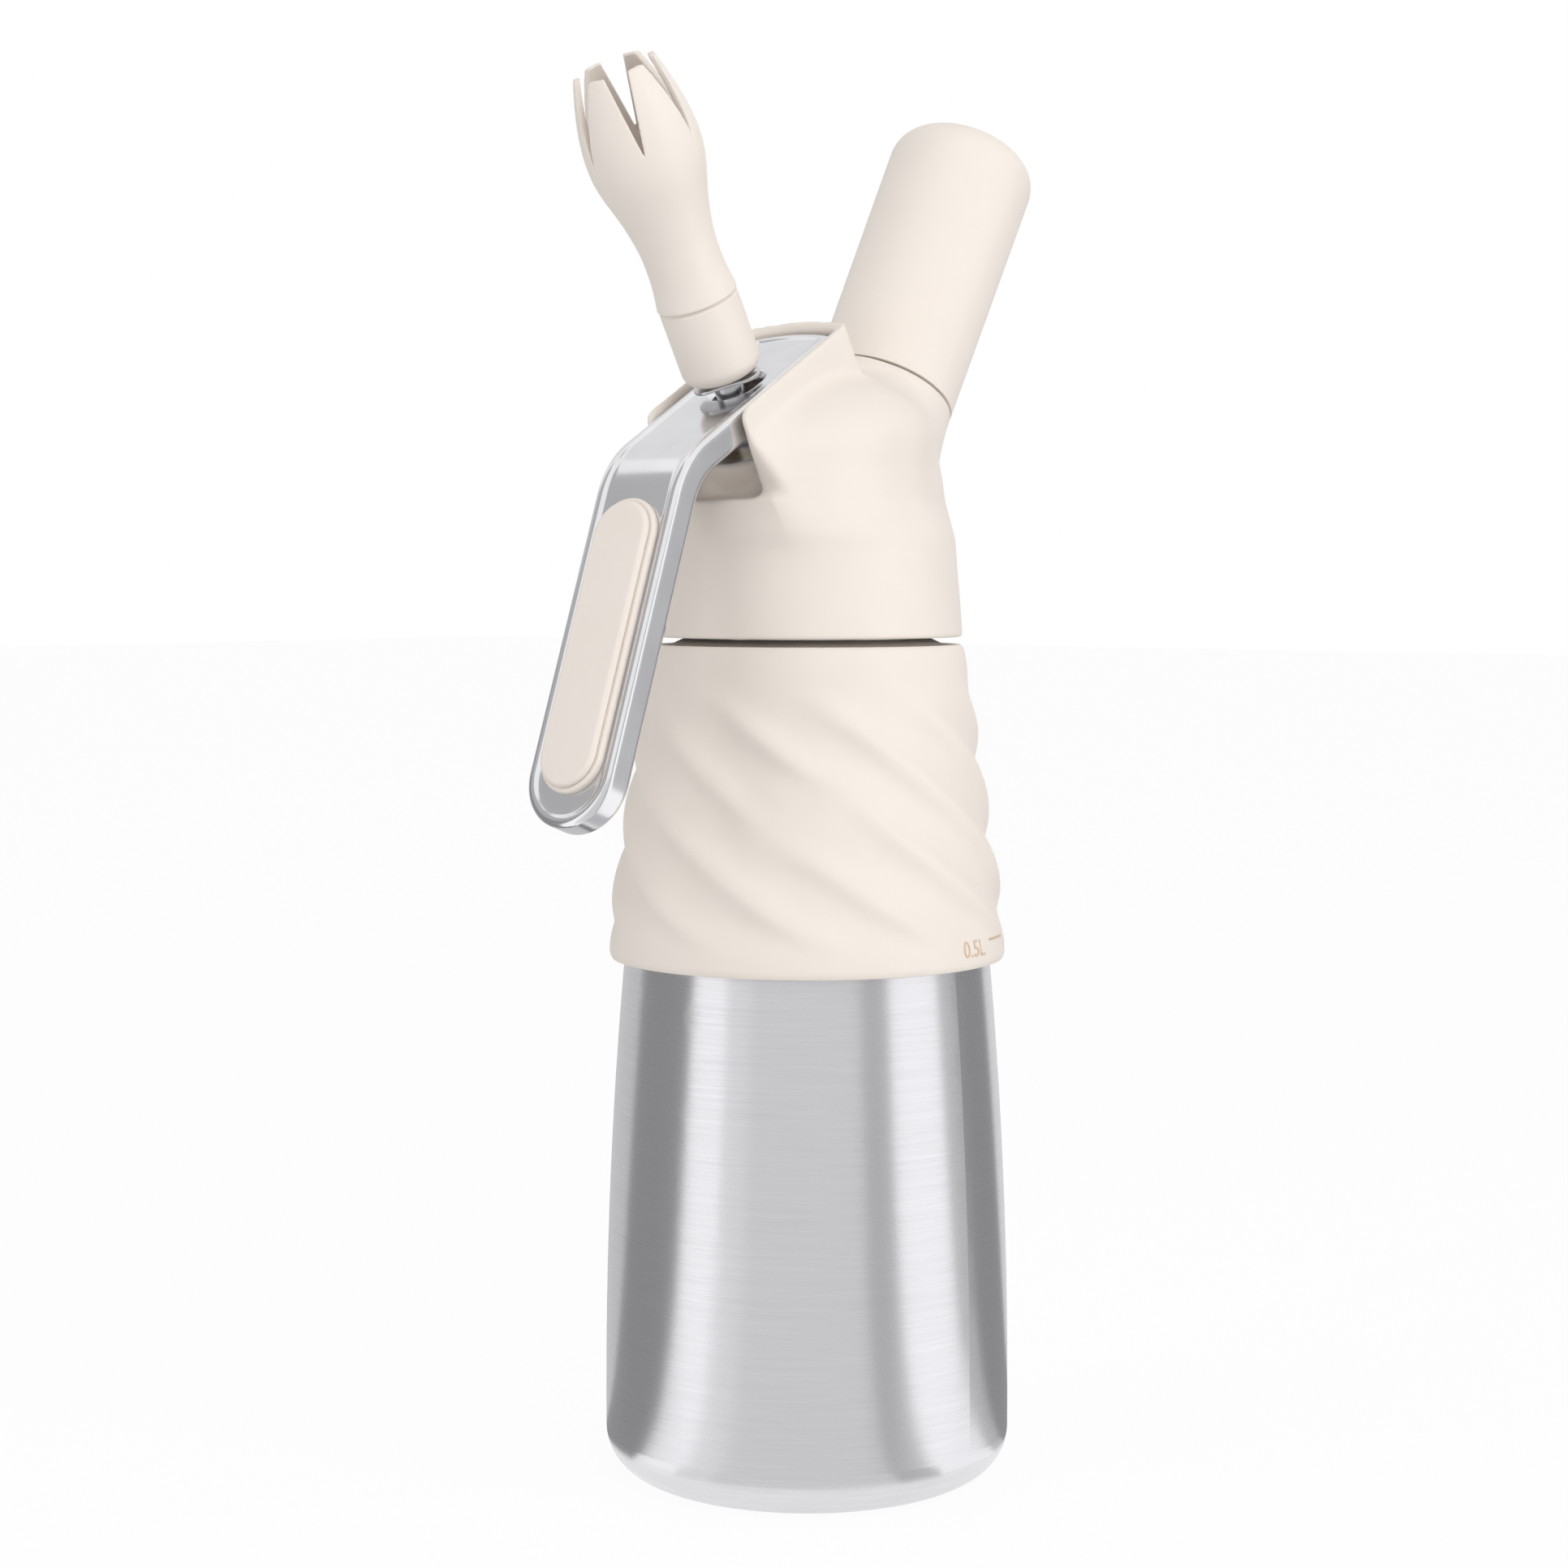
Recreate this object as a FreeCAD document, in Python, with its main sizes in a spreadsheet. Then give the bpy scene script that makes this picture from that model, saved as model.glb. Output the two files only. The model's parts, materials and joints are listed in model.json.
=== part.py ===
import FreeCAD, Part
import math
import os
import Sketcher

os.makedirs("parts", exist_ok=True)
doc = FreeCAD.newDocument("cream_dispenser")

# Driving dimensions in millimetres and degrees.
# Heights with "height" in their name are measured from the floor. The nozzle valve and the
# lever lie in a frame that leans forward from the point where its axis crosses the bottle's
# axis, and the gas inlet lies in one that leans back from the same point. A size that ends
# in "_rise" is measured from that point along the leaning axis.
SIZES = {
    "bottle_radius": 41.1,
    "bottle_wall": 1.0,
    "base_corner": 9.4,
    "base_dish_depth": 2.2,
    "base_dish_radius": 24.0,
    "base_dish_rim": 3.5,
    "belly_height": 15.0,
    "side_arc": 1015.0,
    "side_top_radius": 36.9,
    "side_top_height": 107.0,
    "shoulder_radius": 28.8,
    "shoulder_reach": 56.5,
    "neck_radius": 24.5,
    "neck_flare": 4.1,
    "neck_wall": 2.0,
    "neck_reach": 20.4,
    "thread_depth": 1.0,
    "sleeve_foot_drop": 1.5,
    "sleeve_foot_thickness": 3.1,
    "sleeve_cover": 5.15,
    "sleeve_top_thickness": 2.85,
    "sleeve_edge": 1.2,
    "sleeve_foot_flare": 0.08,
    "collar_width": 2.9,
    "collar_rise": 1.35,
    "skirt_gap": 1.55,
    "skirt_wall": 3.3,
    "skirt_top_wall": 2.2,
    "skirt_rise": 14.8,
    "skirt_arc": 43.7,
    "waist_step": 1.3,
    "waist_rise": 15.0,
    "waist_length": 3.0,
    "dome_rise": 19.0,
    "dome_top_radius": 12.0,
    "core_wall": 2.2,
    "core_plate": 4.6,
    "core_gap": 1.6,
    "gasket_thickness": 2.0,
    "gasket_seat_gap": 0.05,
    "fit_gap": 0.2,
    "running_gap": 0.05,
    "overshoot": 1.0,
    "cross_drop": 11.2,
    "valve_tilt": 30.0,
    "inlet_tilt": 30.0,
    "housing_half_width": 12.6,
    "housing_wall": 1.95,
    "housing_top_rise": 49.7,
    "housing_front": 13.0,
    "housing_back": 24.6,
    "housing_back_bulge": 1.9,
    "housing_back_wall": 2.0,
    "housing_corner": 4.5,
    "slot_floor_rise": 36.6,
    "slot_reach": 60.0,
    "mouth_floor_rise": 3.0,
    "mouth_start": 23.2,
    "lever_drop": 1.0,
    "lever_half_width": 10.3,
    "lever_depth": 6.0,
    "lever_plate": 2.4,
    "lever_flange": 1.8,
    "lever_shoulder": 28.9,
    "lever_bend": 40.2,
    "lever_bend_radius": 19.0,
    "lever_length": 72.5,
    "lever_back_gap": 0.7,
    "hole_half_width": 5.4,
    "hole_half_length": 6.2,
    "pivot_back": 17.5,
    "pivot_rise": 43.4,
    "pivot_ear": 3.9,
    "pin_radius": 1.5,
    "pin_bite": 1.2,
    "pad_start": 9.0,
    "pad_length": 56.2,
    "pad_half_width": 6.6,
    "pad_thickness": 1.3,
    "pad_base_thickness": 0.8,
    "pad_base_border": 0.9,
    "tower_radius": 8.0,
    "tower_bottom_rise": 12.0,
    "tower_top_rise": 35.6,
    "spring_bore": 5.2,
    "ledge_rise": 19.8,
    "seal_groove_depth": 1.4,
    "seal_groove_width": 2.0,
    "seal_groove_rise": 16.6,
    "ring_gap": 0.1,
    "stem_radius": 3.0,
    "stem_bore": 1.7,
    "stem_top_rise": 66.4,
    "poppet_radius": 5.6,
    "poppet_thickness": 1.5,
    "poppet_room_depth": 9.0,
    "valve_seal_thickness": 2.3,
    "valve_seal_gap": 0.1,
    "port_radius": 1.0,
    "port_height": 1.6,
    "stem_flange_radius": 4.8,
    "stem_flange_rise": 29.6,
    "stem_flange_thickness": 1.4,
    "guide_gap": 0.2,
    "spring_wire": 0.45,
    "spring_radius": 4.0,
    "spring_turns": 6.0,
    "cross_pin_radius": 1.0,
    "cross_pin_half": 7.6,
    "cross_pin_gap": 0.1,
    "clip_half_length": 6.8,
    "clip_half_width": 4.0,
    "clip_thickness": 0.7,
    "clip_gap": 1.5,
    "adapter_radius": 7.9,
    "adapter_bottom_rise": 51.3,
    "adapter_top_rise": 66.9,
    "adapter_corner": 3.0,
    "adapter_groove_radius": 7.3,
    "nipple_radius": 5.4,
    "nipple_length": 8.0,
    "nipple_bore": 2.2,
    "tip_bottom_rise": 67.8,
    "tip_foot_radius": 8.05,
    "tip_neck_radius": 7.4,
    "tip_neck": 9.0,
    "tip_bulb_radius": 11.2,
    "tip_bulb": 31.0,
    "tip_mouth_radius": 7.9,
    "tip_length": 47.2,
    "tip_wall": 1.5,
    "tip_web": 1.6,
    "tip_waist_arc": 27.0,
    "tip_bulb_arc": 36.0,
    "tip_crown_arc": 43.2,
    "tip_cuts": 6,
    "tip_cut_depth": 15.2,
    "tip_cut_width": 2.45,
    "tip_turn": 41.6,
    "inlet_radius": 15.0,
    "inlet_seam_rise": 49.6,
    "seam_gap": 0.3,
    "inlet_foot_rise": 16.0,
    "stub_radius": 12.0,
    "stub_reach": 15.2,
    "inlet_tower_radius": 13.0,
    "inlet_tower_gap": 0.9,
    "neck_pocket_radius": 4.9,
    "neck_pocket_depth": 10.2,
    "plug_radius": 6.0,
    "plug_height": 17.8,
    "plug_top_rise": 41.8,
    "gas_port_radius": 2.0,
    "check_port_radius": 1.2,
    "gas_port_bottom_rise": 8.0,
    "chamber_radius": 3.2,
    "chamber_floor": 2.0,
    "chamber_roof": 6.8,
    "piercer_radius": 1.0,
    "piercer_bore": 0.45,
    "piercer_reach": 4.2,
    "piercer_point": 1.6,
    "piercer_edge": 0.05,
    "piercer_foot": 4.0,
    "charger_seal_thickness": 1.6,
    "charger_seal_radius": 4.5,
    "check_radius": 2.6,
    "check_thickness": 2.0,
    "check_taper": 0.8,
    "check_wire": 0.3,
    "check_turns": 4.0,
    "holder_end_wall": 1.75,
    "holder_end_radius": 15.5,
    "holder_corner": 6.0,
    "holder_crown": 1.0,
    "holder_bore_radius": 9.6,
    "liner_length": 12.0,
    "liner_wall": 1.4,
    "charger_radius": 9.15,
    "charger_neck_radius": 4.4,
    "charger_length": 65.2,
    "charger_neck": 10.0,
    "charger_shoulder": 22.0,
    "charger_wall": 1.6,
    "charger_gap": 0.1,
}

sheet = doc.addObject("Spreadsheet::Sheet", "sizes")
for row, (alias, number) in enumerate(SIZES.items(), start=1):
    sheet.set(f"A{row}", alias)
    sheet.set(f"B{row}", str(number))
    sheet.setAlias(f"B{row}", alias)
doc.recompute()


class Size:
    """A length that knows its number now and the formula it is worked out with."""

    def __init__(self, number, formula):
        self.number = float(number)
        self.formula = formula

    @staticmethod
    def of(item):
        return item if isinstance(item, Size) else Size(item, f"{item:.6g}")

    def __add__(self, other):
        other = Size.of(other)
        return Size(self.number + other.number, f"({self.formula} + {other.formula})")

    def __sub__(self, other):
        other = Size.of(other)
        return Size(self.number - other.number, f"({self.formula} - {other.formula})")

    def __mul__(self, other):
        other = Size.of(other)
        return Size(self.number * other.number, f"({self.formula} * {other.formula})")

    def __truediv__(self, other):
        other = Size.of(other)
        return Size(self.number / other.number, f"({self.formula} / {other.formula})")

    def __radd__(self, other):
        return Size.of(other) + self

    def __rsub__(self, other):
        return Size.of(other) - self

    def __rmul__(self, other):
        return Size.of(other) * self

    def __neg__(self):
        return Size(-self.number, f"(0 - {self.formula})")


def sine(angle):
    return Size(math.sin(math.radians(angle.number)), f"sin({angle.formula})")


def cosine(angle):
    return Size(math.cos(math.radians(angle.number)), f"cos({angle.formula})")


def tangent(angle):
    return Size(math.tan(math.radians(angle.number)), f"tan({angle.formula})")


class Sheet:
    """Reads a driving dimension by its name."""

    def __getattr__(self, alias):
        return Size(SIZES[alias], f"sizes.{alias}")


S = Sheet()
ZERO = Size(0, "0")


def bind(thing, **sizes):
    """Sets properties of a primitive and ties them to their formulas."""
    for name, size in sizes.items():
        size = Size.of(size)
        setattr(thing, name, size.number)
        thing.setExpression(name, size.formula)
    return thing


def put(thing, y=ZERO, z=ZERO, x=ZERO, lean=ZERO, axis=(1, 0, 0)):
    """Places a thing at a point, turned by an angle about one axis."""
    y, z, x, lean = Size.of(y), Size.of(z), Size.of(x), Size.of(lean)
    turn = FreeCAD.Rotation(FreeCAD.Vector(*axis), lean.number or 1.0)
    thing.Placement = FreeCAD.Placement(FreeCAD.Vector(x.number, y.number, z.number), turn)
    thing.setExpression("Placement.Base.x", x.formula)
    thing.setExpression("Placement.Base.y", y.formula)
    thing.setExpression("Placement.Base.z", z.formula)
    thing.setExpression("Placement.Rotation.Angle", lean.formula)
    return thing


def origin_plane(body, role):
    return next(f for f in body.Origin.OriginFeatures if f.Role == role)


def arc_between(start, end, radius, left):
    """The arc from start to end whose centre lies left or right of that direction."""
    middle = (start + end) * 0.5
    along = end - start
    reach = math.sqrt(max(radius**2 - (along.Length / 2) ** 2, 0.0))
    side = FreeCAD.Vector(-along.y, along.x, 0)
    side.normalize()
    centre = middle + side * (reach if left else -reach)
    first = math.atan2(start.y - centre.y, start.x - centre.x)
    last = math.atan2(end.y - centre.y, end.x - centre.x)
    circle = Part.Circle(centre, FreeCAD.Vector(0, 0, 1), radius)
    if left:
        return Part.ArcOfCircle(circle, first, last), True
    return Part.ArcOfCircle(circle, last, first), False


def half_circle(start, end):
    """The half circle over a level chord that bulges away from the rest of a slot."""
    centre = (start + end) * 0.5
    circle = Part.Circle(centre, FreeCAD.Vector(0, 0, 1), (end - start).Length / 2)
    if end.x > start.x:
        return Part.ArcOfCircle(circle, 0, math.pi), False
    return Part.ArcOfCircle(circle, math.pi, 2 * math.pi), False


def outline(body, role, corners, name="outline"):
    """A closed sketch on an origin plane.

    Each corner is (across, up) or (across, up, radius, way), where the radius bends the
    side that leads to the next corner. The way is "left" or "right", the side on which
    the arc's centre lies, or "round" for a half circle on a level chord."""
    sketch = body.newObject("Sketcher::SketchObject", name)
    sketch.AttachmentSupport = [(origin_plane(body, role), "")]
    sketch.MapMode = "FlatFace"
    corners = [tuple(Size.of(c) if not isinstance(c, str) else c
                     for k, c in enumerate(corner)) for corner in corners]
    points = [FreeCAD.Vector(c[0].number, c[1].number, 0) for c in corners]
    starts = []
    ends = []
    for index, corner in enumerate(corners):
        here = points[index]
        there = points[(index + 1) % len(points)]
        if len(corner) > 2:
            arc, forward = arc_between(here, there, corner[2].number, corner[3] == "left")
            if corner[3] == "round":
                arc, forward = half_circle(here, there)
            edge = sketch.addGeometry(arc, False)
            starts.append((edge, 1 if forward else 2))
            ends.append((edge, 2 if forward else 1))
        else:
            edge = sketch.addGeometry(Part.LineSegment(here, there), False)
            starts.append((edge, 1))
            ends.append((edge, 2))
    for index, corner in enumerate(corners):
        before = ends[index - 1]
        after = starts[index]
        sketch.addConstraint(Sketcher.Constraint("Coincident", *before, *after))
        for kind, size, line in (("DistanceX", corner[0], -2), ("DistanceY", corner[1], -1)):
            if size.number == 0 and size.formula == "0":
                sketch.addConstraint(Sketcher.Constraint("PointOnObject", *after, line))
                continue
            rule = sketch.addConstraint(
                Sketcher.Constraint(kind, -1, 1, *after, size.number))
            sketch.setExpression(f"Constraints[{rule}]", size.formula)
        if len(corner) > 2 and corner[3] == "round":
            rule = sketch.addConstraint(
                Sketcher.Constraint("DistanceY", -1, 1, starts[index][0], 3, corner[1].number))
            sketch.setExpression(f"Constraints[{rule}]", corner[1].formula)
        elif len(corner) > 2:
            rule = sketch.addConstraint(
                Sketcher.Constraint("Radius", starts[index][0], corner[2].number))
            sketch.setExpression(f"Constraints[{rule}]", corner[2].formula)
    return sketch


def turned(label, corners, **place):
    """A solid of revolution about its own upright axis."""
    body = doc.addObject("PartDesign::Body", label)
    sketch = outline(body, "XZ_Plane", corners)
    turn = body.newObject("PartDesign::Revolution", "turn")
    turn.Profile = sketch
    turn.ReferenceAxis = (sketch, ["V_Axis"])
    turn.Angle = 360
    sketch.Visibility = False
    if place:
        put(body, **place)
    return body


def pressed(label, role, corners, length, both_ways=True, **place):
    """A solid pushed out of one outline, to both sides of it or to one."""
    body = doc.addObject("PartDesign::Body", label)
    sketch = outline(body, role, corners)
    pad = body.newObject("PartDesign::Pad", "pad")
    pad.Profile = sketch
    if both_ways:
        pad.Midplane = True
    bind(pad, Length=length)
    if place:
        put(body, **place)
    return body


def slot_plate(label, low, high, half, thickness, **place):
    """A plate with two straight sides and two round ends along its own Y axis."""
    corners = [
        (-half, high, half, "round"),
        (half, high),
        (half, low, half, "round"),
        (-half, low),
    ]
    return pressed(label, "XY_Plane", corners, thickness, both_ways=False, **place)


def post(name, radius, bottom, top, **place):
    """A round bar between two heights of its own axis, inside a leaning frame."""
    bar = doc.addObject("Part::Cylinder", name)
    bind(bar, Radius=radius, Height=top - bottom)
    lean = Size.of(place.get("lean", ZERO))
    low = Size.of(bottom)
    y = Size.of(place.get("y", ZERO)) - low * sine(lean)
    z = Size.of(place.get("z", ZERO)) + low * cosine(lean)
    return put(bar, y=y, z=z, lean=lean)


def cross_bar(name, radius, half, y, z, lean, cross):
    """A round bar along X, centred on the plane of symmetry."""
    bar = doc.addObject("Part::Cylinder", name)
    bind(bar, Radius=radius, Height=half * 2)
    spot_y, spot_z = leaning_point(y, z, lean, cross)
    return put(bar, x=-half, y=spot_y, z=spot_z, lean=Size(90, "90"), axis=(0, 1, 0))


def leaning_point(y, rise, lean, cross):
    """Turns a point of a leaning frame into the part's own frame."""
    return y * cosine(lean) - rise * sine(lean), cross + y * sine(lean) + rise * cosine(lean)


def block(name, half, y_low, y_high, low, high, **place):
    """A box, centred across, between two places along its frame's Y and Z axes."""
    box = doc.addObject("Part::Box", name)
    bind(box, Length=half * 2, Width=y_high - y_low, Height=high - low)
    lean = Size.of(place.get("lean", ZERO))
    base = Size.of(place.get("z", ZERO))
    y = y_low * cosine(lean) - low * sine(lean)
    z = base + y_low * sine(lean) + low * cosine(lean)
    return put(box, x=-half, y=y, z=z, lean=lean)


def joined(label, *things):
    union = doc.addObject("Part::MultiFuse", label)
    union.Shapes = list(things)
    union.Refine = True
    return union


def shared(label, one, other):
    common = doc.addObject("Part::Common", label)
    common.Base = one
    common.Tool = other
    return common


def cut(label, base, *tools):
    """One solid less some others."""
    tool = tools[0] if len(tools) == 1 else joined(label + "_tools", *tools)
    rest = doc.addObject("Part::Cut", label)
    rest.Base = base
    rest.Tool = tool
    rest.Refine = True
    return rest


def named(thing, label):
    thing.Label = label
    return thing


# The levels and radii that several pieces share, each a step from the one before it, so that
# the sleeve and the whole head follow the bottle.
shoulder_height = S.side_top_height + S.shoulder_reach
neck_start_height = shoulder_height + S.neck_flare
mouth_height = neck_start_height + S.neck_reach
cross_height = mouth_height - S.cross_drop
sleeve_bottom_height = S.side_top_height - S.sleeve_foot_drop
sleeve_top_height = shoulder_height + S.sleeve_cover
collar_height = sleeve_top_height + S.collar_rise
skirt_bottom = sleeve_top_height + S.skirt_gap
skirt_top_height = skirt_bottom + S.skirt_rise
waist_height = skirt_top_height + S.waist_rise
waist_top_height = waist_height + S.waist_length
dome_height = waist_top_height + S.dome_rise
gasket_top = mouth_height + S.gasket_thickness
mouth_floor_height = gasket_top + S.core_plate + S.mouth_floor_rise
collar_radius = S.neck_radius + S.collar_width
core_bore = S.neck_radius + S.thread_depth + S.fit_gap
core_radius = core_bore + S.core_wall
skirt_radius = core_radius + S.skirt_wall
skirt_top_radius = core_radius + S.skirt_top_wall
waist_radius = core_radius - S.waist_step

VALVE = {"z": cross_height, "lean": S.valve_tilt}
INLET = {"z": cross_height, "lean": -S.inlet_tilt}

# The bottle: one deep-drawn steel shell with a dished base, a side that bends gently
# inwards and a stout neck. The inside follows the outside one wall away.
side_drop = S.side_top_radius - S.bottle_wall
bottle = turned("bottle", [
    (ZERO, S.base_dish_depth),
    (S.base_dish_radius, S.base_dish_depth),
    (S.base_dish_radius + S.base_dish_rim, ZERO),
    (S.bottle_radius - S.base_corner, ZERO, S.base_corner, "left"),
    (S.bottle_radius, S.base_corner),
    (S.bottle_radius, S.belly_height, S.side_arc, "left"),
    (S.side_top_radius, S.side_top_height),
    (S.shoulder_radius, shoulder_height),
    (S.neck_radius, neck_start_height),
    (S.neck_radius, mouth_height),
    (S.neck_radius - S.neck_wall, mouth_height),
    (S.neck_radius - S.neck_wall, neck_start_height - S.bottle_wall),
    (S.shoulder_radius - S.bottle_wall, shoulder_height - S.bottle_wall),
    (side_drop, S.side_top_height, S.side_arc - S.bottle_wall, "right"),
    (S.bottle_radius - S.bottle_wall, S.belly_height),
    (S.bottle_radius - S.bottle_wall, S.base_corner, S.base_corner - S.bottle_wall, "right"),
    (S.bottle_radius - S.base_corner, S.bottle_wall),
    (S.base_dish_radius + S.base_dish_rim, S.bottle_wall),
    (S.base_dish_radius, S.base_dish_depth + S.bottle_wall),
    (ZERO, S.base_dish_depth + S.bottle_wall),
])

# The grip sleeve: a soft tube pushed over the bottle's shoulder. Its top turns in to a low
# collar around the neck, which shows in the gap under the head.
sleeve_foot = S.side_top_radius + S.fit_gap + S.sleeve_foot_flare
sleeve_bottom_radius = S.side_top_radius + S.sleeve_foot_thickness
sleeve_top_radius = S.shoulder_radius + S.sleeve_top_thickness
sleeve = turned("grip_sleeve", [
    (sleeve_foot, sleeve_bottom_height),
    (sleeve_bottom_radius - S.sleeve_edge, sleeve_bottom_height, S.sleeve_edge, "left"),
    (sleeve_bottom_radius, sleeve_bottom_height + S.sleeve_edge),
    (sleeve_top_radius, sleeve_top_height - S.sleeve_edge, S.sleeve_edge, "left"),
    (sleeve_top_radius - S.sleeve_edge, sleeve_top_height),
    (collar_radius, sleeve_top_height),
    (S.neck_radius + S.fit_gap, collar_height),
    (S.neck_radius + S.fit_gap, neck_start_height + S.fit_gap),
    (S.shoulder_radius + S.fit_gap, shoulder_height + S.fit_gap),
    (S.side_top_radius + S.fit_gap, S.side_top_height + S.fit_gap),
])

# The head's core: a threaded cap that screws onto the neck. A short tower carries the
# nozzle valve, and a wider one carries the gas inlet and the thread for the holder.
plug_bottom = S.plug_top_rise - S.plug_height
neck_pocket_top = S.plug_top_rise + S.neck_pocket_depth
stub_top = S.plug_top_rise + S.stub_reach
core_cap = turned("core_cap", [
    (ZERO, gasket_top),
    (core_bore, gasket_top),
    (core_bore, sleeve_top_height + S.skirt_gap + S.core_gap),
    (core_radius, sleeve_top_height + S.skirt_gap + S.core_gap),
    (core_radius, gasket_top),
    (core_bore - S.core_wall, gasket_top + S.core_plate),
    (ZERO, gasket_top + S.core_plate),
])
valve_tower = post("valve_tower", S.tower_radius, S.tower_bottom_rise, S.tower_top_rise, **VALVE)
inlet_tower = post("inlet_tower", S.inlet_tower_radius, S.inlet_foot_rise,
                   S.inlet_seam_rise - S.inlet_tower_gap, **INLET)
stub = post("stub", S.stub_radius, S.inlet_foot_rise, stub_top, **INLET)
spring_room = post("spring_room", S.spring_bore, S.ledge_rise,
                   S.tower_top_rise + S.overshoot, **VALVE)
stem_way = post("stem_way", S.stem_radius + S.running_gap, S.tower_bottom_rise - S.overshoot,
                S.tower_top_rise, **VALVE)
seal_room = post("seal_room", S.stem_radius + S.seal_groove_depth, S.seal_groove_rise,
                 S.seal_groove_rise + S.seal_groove_width, **VALVE)
plug_room = post("plug_room", S.plug_radius, plug_bottom, S.plug_top_rise, **INLET)
neck_room = post("neck_room", S.neck_pocket_radius, S.plug_top_rise - S.fit_gap,
                 neck_pocket_top, **INLET)
shoulder_room = post("shoulder_room", S.holder_bore_radius, neck_pocket_top,
                     stub_top + S.overshoot, **INLET)
gas_way = post("gas_way", S.gas_port_radius, S.gas_port_bottom_rise, S.plug_top_rise, **INLET)
poppet_room = post("poppet_room", S.tower_radius + S.overshoot,
                   S.tower_bottom_rise - S.poppet_room_depth, S.tower_bottom_rise, **VALVE)
# The tower leans, so whatever of it would hang below the cap's inside is taken away.
under_cap = turned("under_cap", [
    (ZERO, shoulder_height),
    (core_bore, shoulder_height),
    (core_bore, gasket_top),
    (ZERO, gasket_top),
])
inlet_stack = cut("inlet_stack", joined("inlet_tower_stub", inlet_tower, stub), under_cap)
core_solid = joined("core_solid", core_cap, valve_tower, inlet_stack)
head_core = cut("head_core", core_solid, spring_room, stem_way, seal_room, plug_room, neck_room,
                shoulder_room, gas_way, poppet_room)

# The gasket between the bottle's mouth and the core.
gasket = turned("head_gasket", [
    (S.neck_radius - S.neck_wall, mouth_height + S.gasket_seat_gap),
    (S.neck_radius + S.thread_depth * 0.5, mouth_height + S.gasket_seat_gap),
    (S.neck_radius + S.thread_depth * 0.5, gasket_top - S.gasket_seat_gap),
    (S.neck_radius - S.neck_wall, gasket_top - S.gasket_seat_gap),
])

# The head's shell: the moulded cover, with two cheeks for the lever in front and the round
# boss of the gas inlet behind.
shell_body = turned("shell_body", [
    (ZERO, skirt_bottom),
    (skirt_radius, skirt_bottom),
    (skirt_top_radius, skirt_top_height, S.skirt_arc, "left"),
    (waist_radius, waist_height),
    (waist_radius, waist_top_height, waist_radius, "left"),
    (S.dome_top_radius, dome_height),
    (ZERO, dome_height),
])
back = S.housing_back
bulge = S.housing_back_bulge
half = S.housing_half_width
back_arc = (half * half + bulge * bulge) / (bulge * 2)
cheeks = pressed("cheeks", "XY_Plane", [
    (-half, -S.housing_front),
    (half, -S.housing_front),
    (half, back, back_arc, "left"),
    (-half, back),
], S.housing_top_rise, both_ways=False, **VALVE)
boss = post("inlet_boss", S.inlet_radius, S.inlet_foot_rise, S.inlet_seam_rise, **INLET)
shell_solid = joined("shell_solid", shell_body, cheeks, boss)
slot_half = half - S.housing_wall
slot_back = back - S.housing_back_wall
slot_bulge_arc = (slot_half * slot_half + bulge * bulge) / (bulge * 2)
lever_slot = pressed("lever_slot", "XY_Plane", [
    (-slot_half, -S.slot_reach),
    (slot_half, -S.slot_reach),
    (slot_half, slot_back, slot_bulge_arc, "left"),
    (-slot_half, slot_back),
], S.housing_top_rise, both_ways=False)
slot_y, slot_z = leaning_point(ZERO, S.slot_floor_rise, S.valve_tilt, cross_height)
put(lever_slot, y=slot_y, z=slot_z, lean=S.valve_tilt)
front_mouth = block("front_mouth", slot_half, -S.slot_reach, -S.mouth_start,
                    mouth_floor_height, mouth_floor_height + S.lever_length)
core_room = turned("core_room", [
    (ZERO, skirt_bottom - S.overshoot),
    (core_radius + S.fit_gap, skirt_bottom - S.overshoot),
    (core_radius + S.fit_gap, gasket_top + S.fit_gap),
    (core_bore - S.core_wall + S.fit_gap, gasket_top + S.core_plate + S.fit_gap),
    (ZERO, gasket_top + S.core_plate + S.fit_gap),
])
tower_room = post("tower_room", S.tower_radius + S.fit_gap, S.tower_bottom_rise,
                  S.slot_floor_rise + S.overshoot, **VALVE)
inlet_room = post("inlet_room", S.inlet_tower_radius + S.fit_gap, S.inlet_foot_rise,
                  S.inlet_seam_rise + S.overshoot, **INLET)
pin_half = slot_half + S.pin_bite
pin_room = cross_bar("pin_room", S.pin_radius, pin_half, S.pivot_back, S.pivot_rise,
                     S.valve_tilt, cross_height)
# The cheeks stop short of the nozzle's side in front, and their top corners are round.
corner_y = -S.housing_front + S.housing_corner
corner_z = S.housing_top_rise - S.housing_corner
corner_block = block("corner_block", half + S.overshoot, -S.housing_front - S.overshoot,
                     corner_y, corner_z, S.housing_top_rise + S.overshoot, **VALVE)
corner_round = cross_bar("corner_round", S.housing_corner, half + S.overshoot * 2, corner_y, corner_z,
                         S.valve_tilt, cross_height)
corner_waste = cut("corner_waste", corner_block, corner_round)
above_top = block("above_top", waist_radius, -S.housing_front - S.lever_shoulder, slot_back,
                  S.housing_top_rise, S.housing_top_rise + waist_radius, **VALVE)
head_shell = cut("head_shell", shell_solid, lever_slot, front_mouth, core_room, tower_room,
                 inlet_room, pin_room, corner_waste, above_top)

# The lever: a formed channel. Its plate lies between the cheeks on a pin, and past the
# shoulder the handle leans away from the bottle and ends round.
plate_rise = S.housing_top_rise - S.lever_drop
bend_reach = S.lever_bend_radius * tangent(S.lever_bend / 2)
lever_back = slot_back - S.lever_back_gap


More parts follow.
